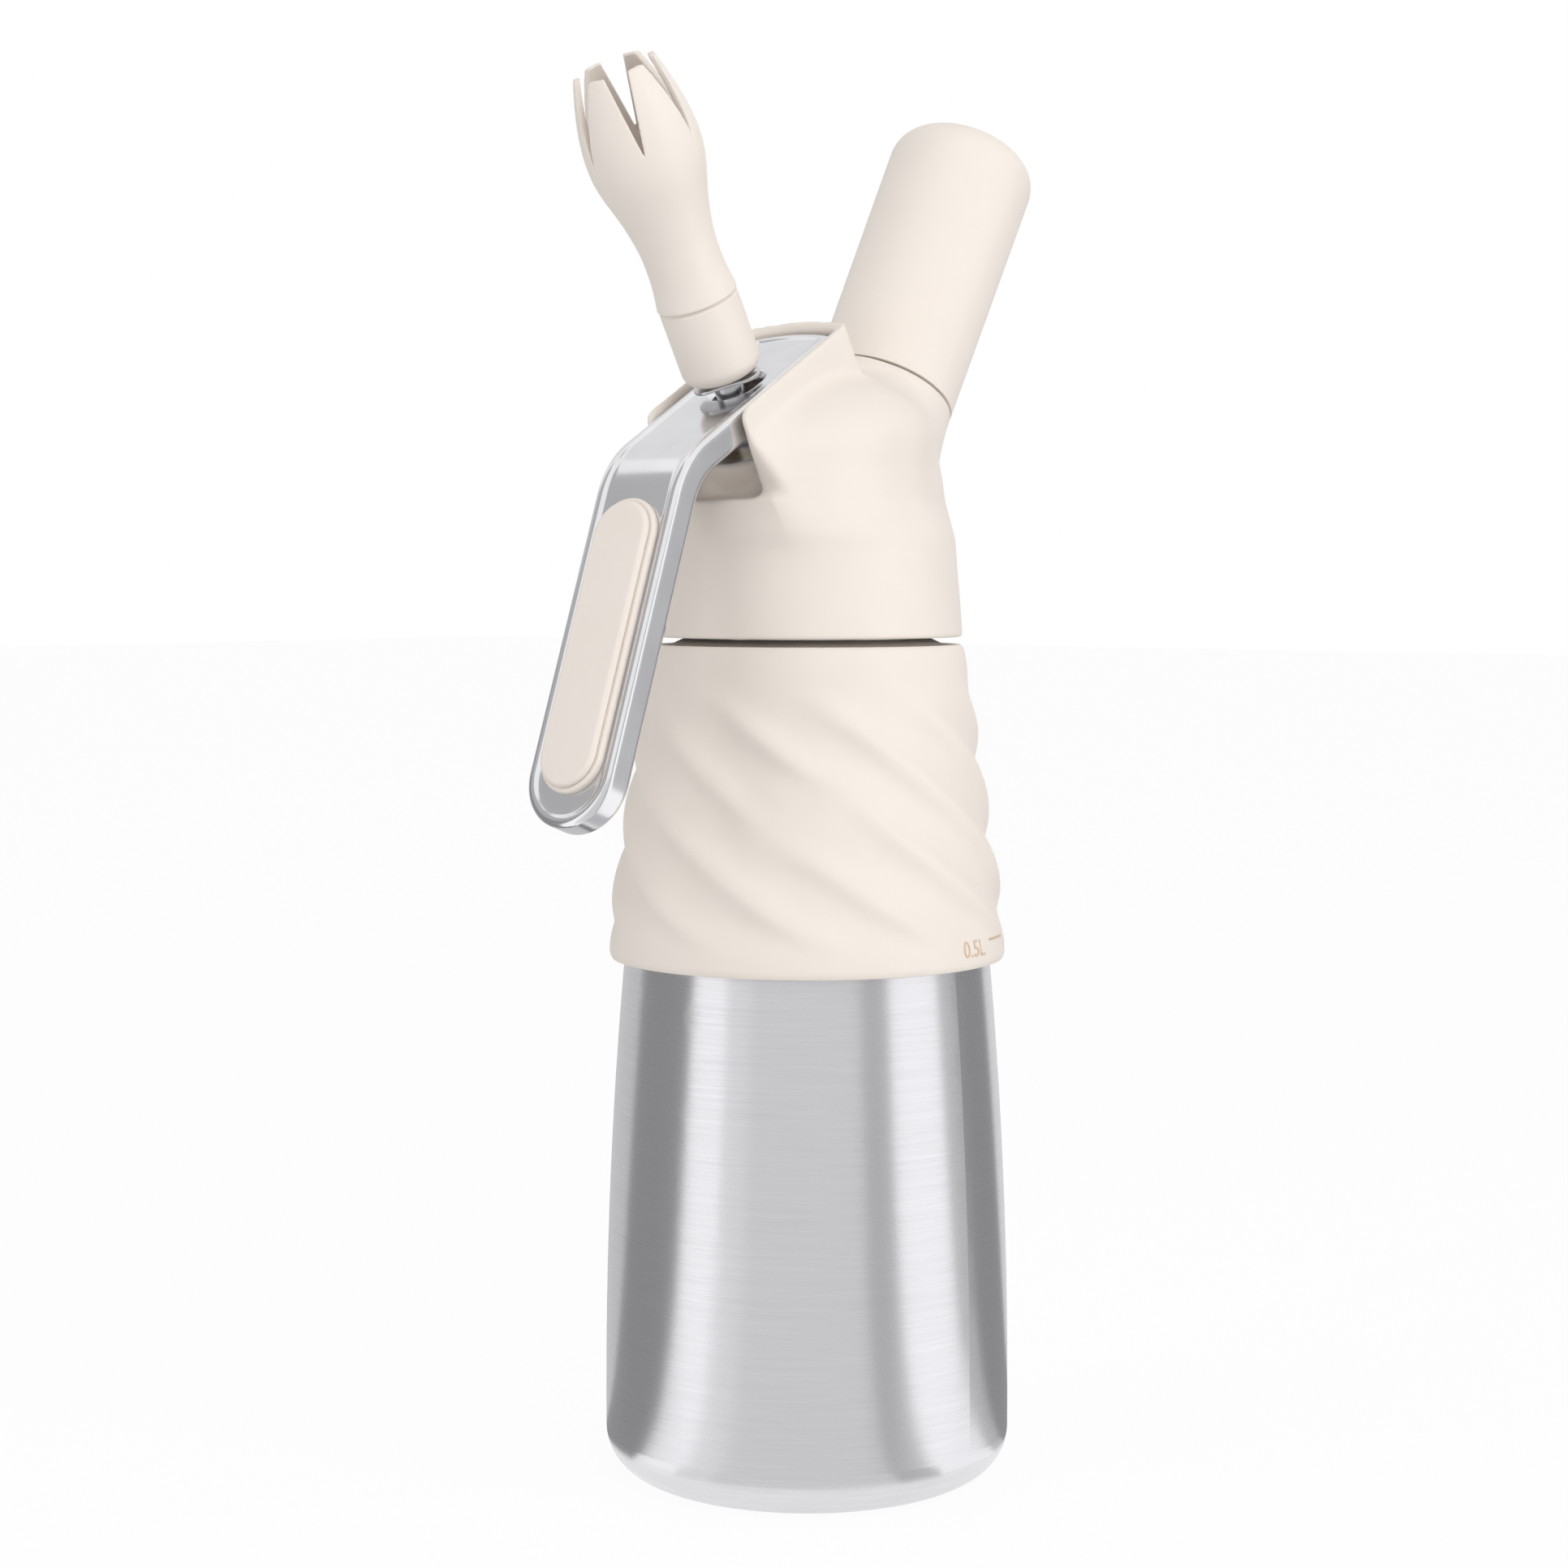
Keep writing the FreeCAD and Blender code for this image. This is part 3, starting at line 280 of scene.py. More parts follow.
def shell_field(points):
    """The skirt, boss and cheeks in one skin, less the slot, the recess and the cap's room."""
    x, y, z = points.T
    radius = np.hypot(x, y)
    front = smooth_step(-y / np.maximum(radius, 1), 0.0, 0.8)
    brow = 3.2 * front * smooth_step(z, 186, 199) * (1 - smooth_step(z, 206, 220))
    turned = (radius - skirt_line(z) - brow) * 0.94
    turned = soft_max(turned, z - SHELL_TOP, 6.0)
    _, v_y, v_a = to_leaning(points, LEAN)
    _, i_y, i_a = to_leaning(points, -LEAN)
    boss = soft_max(np.hypot(x, i_y) - BOSS_RADIUS, 14.0 - i_a, 2.0)
    back = bowed_back(x, CHEEK_BACK, CHEEK_HALF)
    cheeks = soft_max(np.abs(x) - CHEEK_HALF, v_y - back, 1.2)
    nose = np.hypot(np.maximum(-(v_y + FRONT - NOSE_RADIUS), 0),
                    np.maximum(v_a - TOP_PLANE + NOSE_RADIUS, 0))
    cheeks = np.maximum(cheeks, np.where(nose > 0, nose - NOSE_RADIUS, -FRONT - v_y))
    cheeks = soft_max(cheeks, -FRONT - v_y, 1.0 + 5.0 * (1 - smooth_step(z, 197, 207)))
    cheeks = soft_max(cheeks, 196.5 - z, 6.0)
    shell = soft_min(turned, boss, 9.0)
    shell = soft_min(shell, cheeks, 3.0 + 12.0 * (1 - smooth_step(z, 201, 217)))
    shell = less(shell, soft_max(v_y + FRONT, RECESS_FLOOR - z, 3.0), 1.5)
    open_top = np.maximum(TOP_PLANE - v_a, v_y - bowed_back(x, SLOT_BACK, CHEEK_HALF))
    shell = less(shell, open_top, 1.2)
    shell = soft_max(shell, i_a - BOSS_TOP, 0.9)
    slot_back = bowed_back(x, SLOT_BACK, SLOT_HALF)
    slot = soft_max(np.abs(x) - SLOT_HALF, v_y - slot_back, 1.0)
    slot = soft_max(slot, SLOT_FLOOR - v_a, 1.5)
    shell = less(shell, slot, 1.1)
    mouth = soft_max(np.abs(x) - SLOT_HALF, y + 23.2, 3.0)
    mouth = soft_max(mouth, RECESS_FLOOR - z, 3.0)
    mouth = soft_max(mouth, 9.7 - np.hypot(x, v_y), 1.0)
    shell = less(shell, mouth, 1.6)
    cap = np.maximum(radius - CAP_RADIUS, z - CAP_ROOF)
    cone = radius - (CAP_RADIUS - (z - CAP_ROOF) * 1.05)
    cone = np.maximum(cone, np.maximum(z - CONE_ROOF, 190.0 - z))
    shell = less(shell, np.minimum(cap, cone), 0.6)
    tower = np.maximum(np.hypot(x, v_y) - 8.2, np.maximum(12.0 - v_a, v_a - 37.6))
    inlet = np.maximum(np.hypot(x, i_y) - 13.2, np.maximum(16.0 - i_a, i_a - 51.0))
    shell = less(shell, np.minimum(tower, inlet), 0.4)
    return soft_max(shell, SKIRT_FOOT - z, 0.8)


grain = 0.5
points, quads = carve(shell_field, (-33.5, -39, 169), (33.5, 42, 235), grain)
head_shell = piece("moulded_head", points, quads, "head_body", "head_shell")

# %% [markdown]
# The grip sleeve is a soft tube over the bottle's shoulder. Ten low flutes wind around
# it, fade out before both edges and leave a smooth patch in front. A turned grid is the
# simplest way: each ring's radius is the cone's plus the flutes' wave at that angle. The
# inner wall is the same grid carried on, so the skin closes on itself.

# %% Grip sleeve
TURN = 2 * math.pi
FLUTES = 10
FLUTE_LEAD = 158.0
CREST_HEIGHT = 138.2
CREST_ANGLE = math.radians(35.2)
FLUTE_DEPTH = 0.92
PATCH_ANGLE, PATCH_HALF_WIDTH = math.radians(-51.4), 13
PATCH_HEIGHT, PATCH_HALF_HEIGHT = 136.5, 8.5
PATCH_RADIUS = 36.0
sleeve_line = curve_through([
    (105.5, 39.6), (106.2, 39.95), (108, 40.0), (112, 39.5), (120, 38.4), (130, 36.9),
    (140, 35.4), (150, 34.0), (160, 32.6), (167.6, 31.6), (168.2, 31.4), (168.65, 30.9)])


def flute_depth(angle, height):
    """How far the flutes lift the sleeve's skin at an angle and a height."""
    phase = FLUTES * (angle - CREST_ANGLE + (height - CREST_HEIGHT) * TURN / FLUTE_LEAD)
    wave = np.cos(phase + 0.35 * np.sin(phase))
    fade = smooth_step(height, 108.5, 118) * (1 - smooth_step(height, 150, 163))
    side = np.angle(np.exp(1j * (angle - PATCH_ANGLE))) * PATCH_RADIUS
    rise = height - PATCH_HEIGHT
    patch = np.exp(-((side / PATCH_HALF_WIDTH) ** 4) - (rise / PATCH_HALF_HEIGHT) ** 4)
    return FLUTE_DEPTH * wave * fade * (1 - 0.85 * patch)


heights = np.concatenate([
    [105.5, 105.6, 105.85, 106.2, 106.6, 107.2], np.linspace(108, 166.8, 99),
    [167.2, 167.6, 167.9, 168.2, 168.45, 168.6, 168.65]])
inner_wall = ((29.6, 168.66), (27.5, 168.68), (27.2, 168.85), (24.9, 169.9), (24.7, 169.8),
              (24.7, 168), (28.9, 163.8), (37.05, 107.3), (37.2, 105.6), (37.4, 105.5),
              (39.3, 105.5))
around = np.linspace(0, TURN, 361)[:-1]
rings = [(sleeve_line(height) + flute_depth(around, height), height) for height in heights]
rings += [(np.full(len(around), reach), height) for reach, height in inner_wall]
points = np.concatenate([np.stack([reach * np.cos(around), reach * np.sin(around),
                                   np.full(len(around), height)], -1)
                         for reach, height in rings])
across = len(around)
quads = []
for ring in range(len(rings)):
    here, there = ring * across, (ring + 1) % len(rings) * across
    for step in range(across):
        after = (step + 1) % across
        quads.append((here + step, here + after, there + after, there + step))
sleeve = piece("fluted_sleeve", points, quads, "bottle_body", "grip_sleeve")

# %% [markdown]
# A fill mark stands low on the sleeve: its volume in small raised figures and a short line
# beside them. Both are flat shapes wrapped around the cone, a hair above the silicone.

# %% Fill mark
MARK_ANGLE, MARK_HEIGHT = math.radians(-1.4), 108.0
MARK_RADIUS = 39.6
FIGURE_SIZE = 4.6
RAISE = 0.12
LINE_START, LINE_LENGTH, LINE_STEPS = 10.6, 7.6, 9
LINE_EDGES = (2.5, 2.9)
figures = bpy.data.curves.new("figures", "FONT")
figures.body = "0.5L"
figures.size = FIGURE_SIZE
figures.extrude = RAISE
flat = bpy.data.objects.new("figures", figures)
bpy.context.scene.collection.objects.link(flat)
bpy.context.view_layer.update()
letters = flat.evaluated_get(bpy.context.evaluated_depsgraph_get()).to_mesh()
points = [tuple(vertex.co) for vertex in letters.vertices]
faces = [tuple(face.vertices) for face in letters.polygons]
bpy.data.objects.remove(flat)
first_corner = len(points)
for lift in (RAISE, -RAISE):
    points += [(LINE_START + LINE_LENGTH * k / (LINE_STEPS - 1), edge, lift)
               for k in range(LINE_STEPS) for edge in LINE_EDGES]
under = 2 * LINE_STEPS
for k in range(LINE_STEPS - 1):
    a = first_corner + 2 * k
    faces += [(a, a + 2, a + 3, a + 1),
              (a + 1, a + 3, a + 3 + under, a + 1 + under),
              (a + 2, a, a + under, a + 2 + under)]
along, up, lift = np.array(points).T
height = MARK_HEIGHT + up
angle = MARK_ANGLE + along / MARK_RADIUS
reach = sleeve_line(height) + flute_depth(angle, height) + lift
wrapped = np.stack([reach * np.cos(angle), reach * np.sin(angle), height], -1)
fill_mark = piece("fill_mark", wrapped, faces, "bottle_body")

# %% [markdown]
# The lever is one strip of polished metal, formed to a channel and bent at its shoulder.
# It is carved flat, where its edges are simple, and the bend is a mapping of its points.
# Its outer face lies a little below a raised rim that runs all around.

# %% Lever
BEND = math.radians(40.2)
BEND_RADIUS = 19.0
PLATE_BACK = 21.9
PLATE_RISE = 48.7
SHOULDER = 28.9
HANDLE = 72.5
LEVER_HALF, LEVER_DEPTH, LEVER_WALL = 10.3, 6.0, 1.8
HINGE_RUN, HINGE_DROP = 4.4, 5.3
EAR_RADIUS, PIN_RADIUS = 3.9, 1.55
HOLE_RADIUS, HOLE_STRETCH, HOLE_OFFSET = 4.5, 1.2, 2.2
bend_reach = BEND_RADIUS * math.tan(BEND / 2)
plate_run = PLATE_BACK + SHOULDER - bend_reach
bend_run = BEND_RADIUS * BEND
lever_run = plate_run + bend_run + HANDLE - bend_reach


def form_lever(points):
    """Bends flat (run, across, height over the outer face) to its place in the head."""
    run, w, h = points.T
    turn = np.clip((run - plate_run) / BEND_RADIUS, 0, BEND)
    beyond = np.maximum(run - plate_run - bend_run, 0)
    before = np.minimum(run, plate_run)
    y = PLATE_BACK - before - (BEND_RADIUS + h) * np.sin(turn) - beyond * math.cos(BEND)
    a = PLATE_RISE - BEND_RADIUS + (BEND_RADIUS + h) * np.cos(turn) - beyond * math.sin(BEND)
    return leaning(np.stack([w, y, a], -1), LEAN)


def lever_plan(run, w):
    """The strip seen flat, with a round end and a slightly bowed start."""
    tip = np.hypot(np.maximum(run - (lever_run - LEVER_HALF), 0), w) - LEVER_HALF
    bowed = -1.8 * (1 - (w / LEVER_HALF) ** 2)
    return soft_max(tip, bowed - run, 1.2)


def lever_field(points):
    """The flat channel with its sunk face, its hinge ears, their pin's bore and the hole."""
    run, w, h = points.T
    plan = lever_plan(run, w)
    strip = soft_max(soft_max(plan, h, 1.2), -h - LEVER_DEPTH, 1.0)
    hollow = soft_max(plan + LEVER_WALL, h + 2.6, 1.5)
    strip = less(strip, hollow, 0.7)
    face = soft_max(plan + 2.1, -0.5 - h, 1.0)
    strip = less(strip, face, 0.7)
    from_hinge = np.hypot(run - HINGE_RUN, h + HINGE_DROP)
    ear = np.maximum(from_hinge - EAR_RADIUS, np.abs(w) - LEVER_HALF + 0.15)
    ear = np.maximum(ear, LEVER_HALF - LEVER_WALL - np.abs(w))
    strip = soft_min(strip, ear, 0.8)
    from_hole = np.maximum(np.abs(run - PLATE_BACK + HOLE_OFFSET) - HOLE_STRETCH, 0)
    hole = np.hypot(from_hole, w) - HOLE_RADIUS
    dish = hole - 0.9 * smooth_step(h, -2.0, -0.4)
    return less(less(strip, dish, 0.4), from_hinge - PIN_RADIUS, 0.3)


grain = 0.33
points, quads = carve(lever_field, (-2.6, -10.9, -10), (lever_run + 0.7, 10.9, 0.7), grain)
lever = piece("polished_lever", form_lever(points), quads[:, ::-1], "lever_body", "lever")

# %% [markdown]
# The thumb pad has two layers, a hard foot and a soft cushion on it, with a fine seam
# between them. Both are stadiums with well rounded upper edges.

# %% Thumb pad
PAD_START, PAD_END = 9.0, 65.2
FOOT_BORDER, FOOT_HALF, FOOT_TOP = 0.9, 7.5, 0.85
CUSHION_HALF, CUSHION_TOP, CUSHION_FOOT = 6.65, 2.1, 0.95
handle_start = plate_run + bend_run - bend_reach


def stadium(run, w, start, end, half):
    """A strip with two round ends, seen flat."""
    middle = np.clip(run, start + half, end - half)
    return np.hypot(run - middle, w) - half


def foot_field(points):
    run, w, h = points.T
    plan = stadium(run, w, handle_start + PAD_START - FOOT_BORDER,
                   handle_start + PAD_END + FOOT_BORDER, FOOT_HALF)
    return soft_max(soft_max(plan, h - FOOT_TOP, 0.7), -0.6 - h, 0.3)


def cushion_field(points):
    run, w, h = points.T
    plan = stadium(run, w, handle_start + PAD_START, handle_start + PAD_END, CUSHION_HALF)
    crown = h - CUSHION_TOP - 0.1 * (1 - (w / 7) ** 2)
    return soft_max(soft_max(plan, crown, 1.1), CUSHION_FOOT - h, 0.3)


pad_low, pad_high = handle_start + 6, handle_start + 68
points, quads = carve(foot_field, (pad_low, -8.9, -1), (pad_high, 8.9, 1.6), 0.3)
pad_foot = piece("pad_foot", form_lever(points), quads[:, ::-1], "lever_body", "lever_pad_base")
points, quads = carve(cushion_field, (pad_low, -8.3, 0.9), (pad_high, 8.3, 3.3), 0.3)
pad = piece("pad_cushion", form_lever(points), quads[:, ::-1], "lever_body", "lever_pad")

# %% [markdown]
# The tulip tip is a thin turned shell that swells to a bulb and closes again. Six deep
# cuts leave six blunt tines, which give the cream its star shape.

# %% Tulip tip
TIP_FOOT, TIP_LENGTH = 67.8, 47.2
BORE_RADIUS = 2.2
SOCKET_RADIUS, SOCKET_DEPTH, BOWL_FOOT = 5.45, 8.2, 9.8
TINE_CUTS = 6
CUT_TURN = math.radians(-48.4)
CUT_FOOT, CUT_SPREAD = 31.7, 0.1487
tip_line = curve_through([
    (-1, 8.1), (0, 8.1), (2, 7.8), (5.5, 7.42), (8.5, 7.35), (11.5, 7.45), (14.7, 7.9),
    (18.4, 8.65), (22, 9.65), (25, 10.5), (28, 11.05), (31, 11.2), (34, 11.05),
    (37.5, 10.55), (41, 9.8), (44.6, 8.8), (47.2, 7.95), (48.5, 7.45)])
bowl_line = curve_through([
    (9.8, 2.2), (13, 3.6), (16, 5.4), (20, 7.5), (25, 9.1), (31, 9.8), (37.5, 9.2),
    (44.6, 7.5), (47.2, 6.7), (48.5, 6.2)])


def tulip_field(points):
    """The turned shell less its bowl, socket and bore, and less one wedge for each cut pair."""
    x, y, s = points.T
    reach = np.hypot(x, y)
    tip = soft_max(soft_max((reach - tip_line(s)) * 0.96, s - TIP_LENGTH, 0.35), -s, 0.4)
    bowl = np.maximum(reach - bowl_line(s), BOWL_FOOT - s)
    socket = np.maximum(reach - SOCKET_RADIUS, s - SOCKET_DEPTH)
    tip = less(tip, np.minimum(np.minimum(bowl, socket), reach - BORE_RADIUS), 0.3)
    for cut in range(TINE_CUTS // 2):
        turn = CUT_TURN + cut * TURN / TINE_CUTS
        offset = np.abs(-x * math.sin(turn) + y * math.cos(turn))
        tip = less(tip, offset - (s - CUT_FOOT) * CUT_SPREAD, 0.2)
    return tip


points, quads = carve(tulip_field, (-11.9, -11.9, -0.8), (11.9, 11.9, 47.8), 0.32)
tulip = piece("tulip_shell", leaning(points + np.array([0, 0, TIP_FOOT]), LEAN), quads,
              "tip_body", "tulip_tip")

# %% [markdown]
# Between the collar and the lever's dished hole a small spring clip crosses the stem. It
# is a thin bowed blade with a pin's head at one end.

# %% Stem clip
CLIP_TURN = math.radians(35)
CLIP_HEIGHT, CLIP_HALF, BLADE_HALF = 50.15, 3.4, 0.38
PIN_PLACE, PIN_HEAD = 5.2, 1.25
STEM_BORE = 3.0


def clip_field(points):
    """The blade and the pin's head, less a small dimple and the stem's bore."""
    x, y, a = points.T
    along = x * math.cos(CLIP_TURN) + y * math.sin(CLIP_TURN)
    aside = -x * math.sin(CLIP_TURN) + y * math.cos(CLIP_TURN)
    bow = 0.35 * (1 - (along / 6.5) ** 2)
    blade = np.hypot(np.maximum(np.abs(along) - CLIP_HALF, 0), aside * 0.8) - CLIP_HALF
    blade = soft_max(blade, np.abs(a - CLIP_HEIGHT - bow) - BLADE_HALF, 0.3)
    from_pin = np.hypot(along - PIN_PLACE, aside)
    head = soft_max(from_pin - PIN_HEAD, np.abs(a - 50.2) - 0.8, 0.5)
    head = less(head, soft_max(from_pin - 0.55, 50.5 - a, 0.1), 0.1)
    clip = soft_min(blade, head, 0.25)
    return less(clip, np.hypot(x, y) - STEM_BORE, 0.1)


points, quads = carve(clip_field, (-7, -7, 49), (7, 7, 51.5), 0.16)
clip = piece("spring_clip", leaning(points, LEAN), quads, "valve_body", "stem_clip")

# %% [markdown]
# Two springs shorten as their valves open. Each takes the CAD coil as it is, in a copy
# with a mesh of its own.


def shortening_spring(node, body):
    """A copy of a CAD coil, with a mesh of its own, that rides a body."""
    coil = frame["nodes"][node]
    spots = np.array([coil.matrix_world @ vertex.co for vertex in coil.data.vertices])
    faces = [tuple(face.vertices) for face in coil.data.polygons]
    thing = piece(node + "_coils", spots / MM, faces, body, node)
    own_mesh(thing)
    return thing


valve_coils = shortening_spring("valve_spring", "head_body")
check_coils = shortening_spring("check_spring", "head_body")

# %% [markdown]
# Shader maths reads best as arithmetic. This class wraps one socket, so that adding or
# multiplying two of them places the Math node that does it.


# %% Sockets as values
class Value:
    """One output socket of a finish, which can be used in sums and products."""

    def __init__(self, finish, socket):
        self.finish = finish
        self.socket = socket

    def maths(self, operation, first, second):
        return self.finish.node("Math", {"operation": operation}, {0: first, 1: second})

    def __add__(self, other):
        return self.maths("ADD", self, other)

    def __mul__(self, other):
        return self.maths("MULTIPLY", self, other)


# %% [markdown]
# A finish holds one material and its principled shader. One method adds any other node,
# and a few short ones stand for what most finishes need: noise, a tint and a bump.


# %% A finish
class Finish:
    """A material with a principled shader and a short way to add nodes."""

    def __init__(self, name, **constants):
        self.material = bpy.data.materials.new(name)
        self.material.use_nodes = True
        self.tree = self.material.node_tree
        self.shader = self.tree.nodes["Principled BSDF"]
        for socket, number in constants.items():
            self.shader.inputs[socket.replace("_", " ")].default_value = number

    def node(self, kind, settings=None, sockets=None, out=0):
        """Adds a node, fills its settings and sockets, and gives one of its outputs."""
        node = self.tree.nodes.new("ShaderNode" + kind)
        for key, setting in (settings or {}).items():
            setattr(node, key, setting)
        for key, value in (sockets or {}).items():
            self.give(node.inputs[key], value)
        return Value(self, node.outputs[out])

    def give(self, socket, value):
        if isinstance(value, Value):
            self.tree.links.new(value.socket, socket)
        else:
            socket.default_value = value

    def set(self, socket, value):
        self.give(self.shader.inputs[socket], value)

    def place(self, *scale):
        """The object's own coordinates, stretched by a scale along each axis."""
        spot = self.node("TexCoord", out=3)
        return self.node("Mapping", {}, {"Vector": spot, "Scale": scale})

    def noise(self, spot, detail=2.0):
        return self.node("TexNoise", {}, {"Vector": spot, "Scale": 1.0, "Detail": detail})

    def spread(self, value, low, high):
        """A noise's middle range, stretched from low to high."""
        return self.node("MapRange", {}, {"Value": value, "From Min": 0.3, "From Max": 0.7,
                                          "To Min": low, "To Max": high})

    def tint(self, amount, first, second):
        """A colour between two, by an amount from 0 to 1."""
        mix = self.node("Mix", {"data_type": "RGBA"}, {"Factor": amount}, out=2)
        node = mix.socket.node
        node.inputs[6].default_value = (*first, 1)
        node.inputs[7].default_value = (*second, 1)
        return mix

    def bump(self, height, depth, strength=1.0):
        self.set("Normal", self.node("Bump", {}, {"Height": height, "Distance": depth,
                                                  "Strength": strength}))


# %% [markdown]
# Two cream finishes cover most of what is seen. The moulded plastic is satin with a very
# fine spark-eroded grain; the silicone of the sleeve and pad is duller and a little
# coarser. Faint warm clouds keep both from looking like one flat tone.

# %% Cream plastic and silicone
CREAM = (0.82, 0.752, 0.69)
CREAM_DEEP = (0.785, 0.712, 0.645)


def cream_finish(name, rough, grain_size, depth):
    """Cream with faint warm clouds, a slightly uneven sheen and a fine grain."""
    finish = Finish(name, Roughness=rough, IOR=1.46)
    patchy = finish.noise(finish.place(60, 60, 60), 3.0)
    finish.set("Base Color", finish.tint(finish.spread(patchy, 0.0, 0.5), CREAM, CREAM_DEEP))
    fine = finish.noise(finish.place(grain_size, grain_size, grain_size))
    wide = finish.noise(finish.place(180, 180, 180))
    finish.set("Roughness", finish.spread(wide, rough - 0.05, rough + 0.05))
    finish.bump(fine, depth)
    return finish.material


cream_plastic = cream_finish("cream_plastic", 0.46, 2600, 0.00001)
soft_silicone = cream_finish("soft_silicone", 0.62, 1900, 0.000016)
pad_plastic = cream_finish("pad_plastic", 0.5, 2400, 0.00001)
mark_tone = Finish("mark_tone", Roughness=0.6, Base_Color=(0.66, 0.5, 0.36, 1)).material
print("cream finishes:", cream_plastic.name, soft_silicone.name, pad_plastic.name)

# %% [markdown]
# The bottle is brushed around its axis. Noise that is stretched along the floor and
# squeezed upwards gives the fine level scratches, and a second, longer one the uneven
# bands that a belt leaves. Metal with scratches spreads its highlights across them, which
# is what turns the mirrored cards into tall soft streaks.

# %% Brushed steel
ACROSS_SCRATCHES = 0.75
QUARTER_TURN = 0.25


def brushed_finish(name, colour, rough, fine, depth):
    """Steel with level scratches, whose highlights spread up and down."""
    finish = Finish(name, Metallic=1.0, Anisotropic=ACROSS_SCRATCHES,
                    Anisotropic_Rotation=QUARTER_TURN)
    hair = finish.noise(finish.place(70, 70, fine), 4.0)
    belt = finish.noise(finish.place(14, 14, fine * 0.35), 3.0)
    both = hair * 0.75 + belt * 0.25
    darker = tuple(c * 0.9 for c in colour)
    finish.set("Base Color", finish.tint(finish.spread(both, 0, 1), darker, colour))
    finish.set("Roughness", finish.spread(both, rough + 0.03, rough - 0.03))
    finish.bump(both, depth, 0.4)
    return finish.material


brushed_steel = brushed_finish("brushed_steel", (0.80, 0.79, 0.81), 0.27, 5200, 0.00002)
print("brushed steel:", brushed_steel.name)

# %% [markdown]
# The lever is polished until only hair-fine marks are left, so its grain changes the
# roughness a little and the surface almost not at all. Turned inner parts, springs and
# the charger share one recipe with their own colours.

# %% Polished and turned metals
def metal_finish(name, colour, rough, marks, depth):
    """Even metal with faint clouds in its sheen and fine marks."""
    finish = Finish(name, Metallic=1.0)
    fine = finish.noise(finish.place(marks, marks, marks), 3.0)
    cloud = finish.noise(finish.place(90, 90, 90))
    darker = tuple(c * 0.93 for c in colour)
    finish.set("Base Color", finish.tint(finish.spread(cloud, 0, 1), colour, darker))
    finish.set("Roughness", finish.spread(cloud, rough, rough + 0.05))
    finish.bump(fine, depth, 0.5)
    return finish.material


finishes = {
    "steel_shell": brushed_steel,
    "soft_grip": soft_silicone,
    "cream_plastic": cream_plastic,
    "pad_plastic": pad_plastic,
    "polished_metal": metal_finish("polished_metal", (0.83, 0.83, 0.845), 0.13, 1500, 0.000003),
    "core_metal": metal_finish("core_metal", (0.77, 0.77, 0.78), 0.32, 2500, 0.00001),
    "valve_steel": metal_finish("valve_steel", (0.66, 0.66, 0.67), 0.22, 2500, 0.000006),
    "brass_turned": metal_finish("brass_turned", (0.66, 0.57, 0.42), 0.3, 2500, 0.00001),
    "spring_steel": metal_finish("spring_steel", (0.6, 0.6, 0.62), 0.25, 3000, 0.000005),
    "charger_steel": metal_finish("charger_steel", (0.64, 0.64, 0.66), 0.24, 900, 0.00001),
    "seal_rubber": cream_finish("seal_rubber", 0.6, 2200, 0.00001),
}
print("finishes:", ", ".join(finishes))

# %% [markdown]
# Each CAD solid takes the finish of its slot in the record. The pieces made above take
# the slot of the solid that they stand for; only the fill mark has a tone of its own.

# %% Dress the pieces
for row in frame["record"]["subparts"]:
    node = frame["nodes"][row["node"]]
    node.data.materials.clear()
    node.data.materials.append(finishes[row["material_slot"]])
for thing, name in ((head_shell, "cream_plastic"), (sleeve, "soft_grip"),
                    (lever, "polished_metal"), (pad_foot, "pad_plastic"), (pad, "soft_grip"),
                    (valve_coils, "spring_steel"), (check_coils, "spring_steel"),
                    (tulip, "cream_plastic"), (clip, "valve_steel"), (fill_mark, "soft_grip")):
    thing.data.materials.append(mark_tone if thing is fill_mark else finishes[name])
print("dressed", len(frame["nodes"]), "CAD nodes")

# %% [markdown]
# The set is a white studio. Its floor glows almost white where a lens or a mirror looks at
# it, and is a plain pale surface to all other light, so only a faint shadow is left.

# %% Floor
FLOOR_HALF = 6
FLOOR_GLOW = 0.94
corners = [(-1, -1), (1, -1), (1, 1), (-1, 1)]
floor_mesh = bpy.data.meshes.new("floor")
floor_mesh.from_pydata([(x * FLOOR_HALF, y * FLOOR_HALF, 0) for x, y in corners], [],
                       [(0, 1, 2, 3)])
floor = bpy.data.objects.new("floor", floor_mesh)
bpy.context.scene.collection.objects.link(floor)
pale = Finish("pale_floor", Roughness=0.9, Base_Color=(0.9, 0.9, 0.9, 1))
seen = pale.node("LightPath")
mirrored = Value(pale, seen.socket.node.outputs["Is Glossy Ray"])
through = Value(pale, seen.socket.node.outputs["Is Transmission Ray"])
glow = pale.node("Emission", {}, {"Color": (1, 1, 1, 1), "Strength": 1.0})
share = pale.node("Clamp", {}, {"Value": seen + mirrored + through}) * FLOOR_GLOW
output = pale.tree.nodes["Material Output"]
lit = pale.node("MixShader", {}, {0: share, 1: Value(pale, pale.shader.outputs[0]), 2: glow})
pale.tree.links.new(lit.socket, output.inputs["Surface"])
floor_mesh.materials.append(pale.material)
print("floor", 2 * FLOOR_HALF, "m wide")

# %% [markdown]
# The surround is pure white as a backdrop and in mirrors, but a softer grey as a light, so
# that the cream keeps its shading.

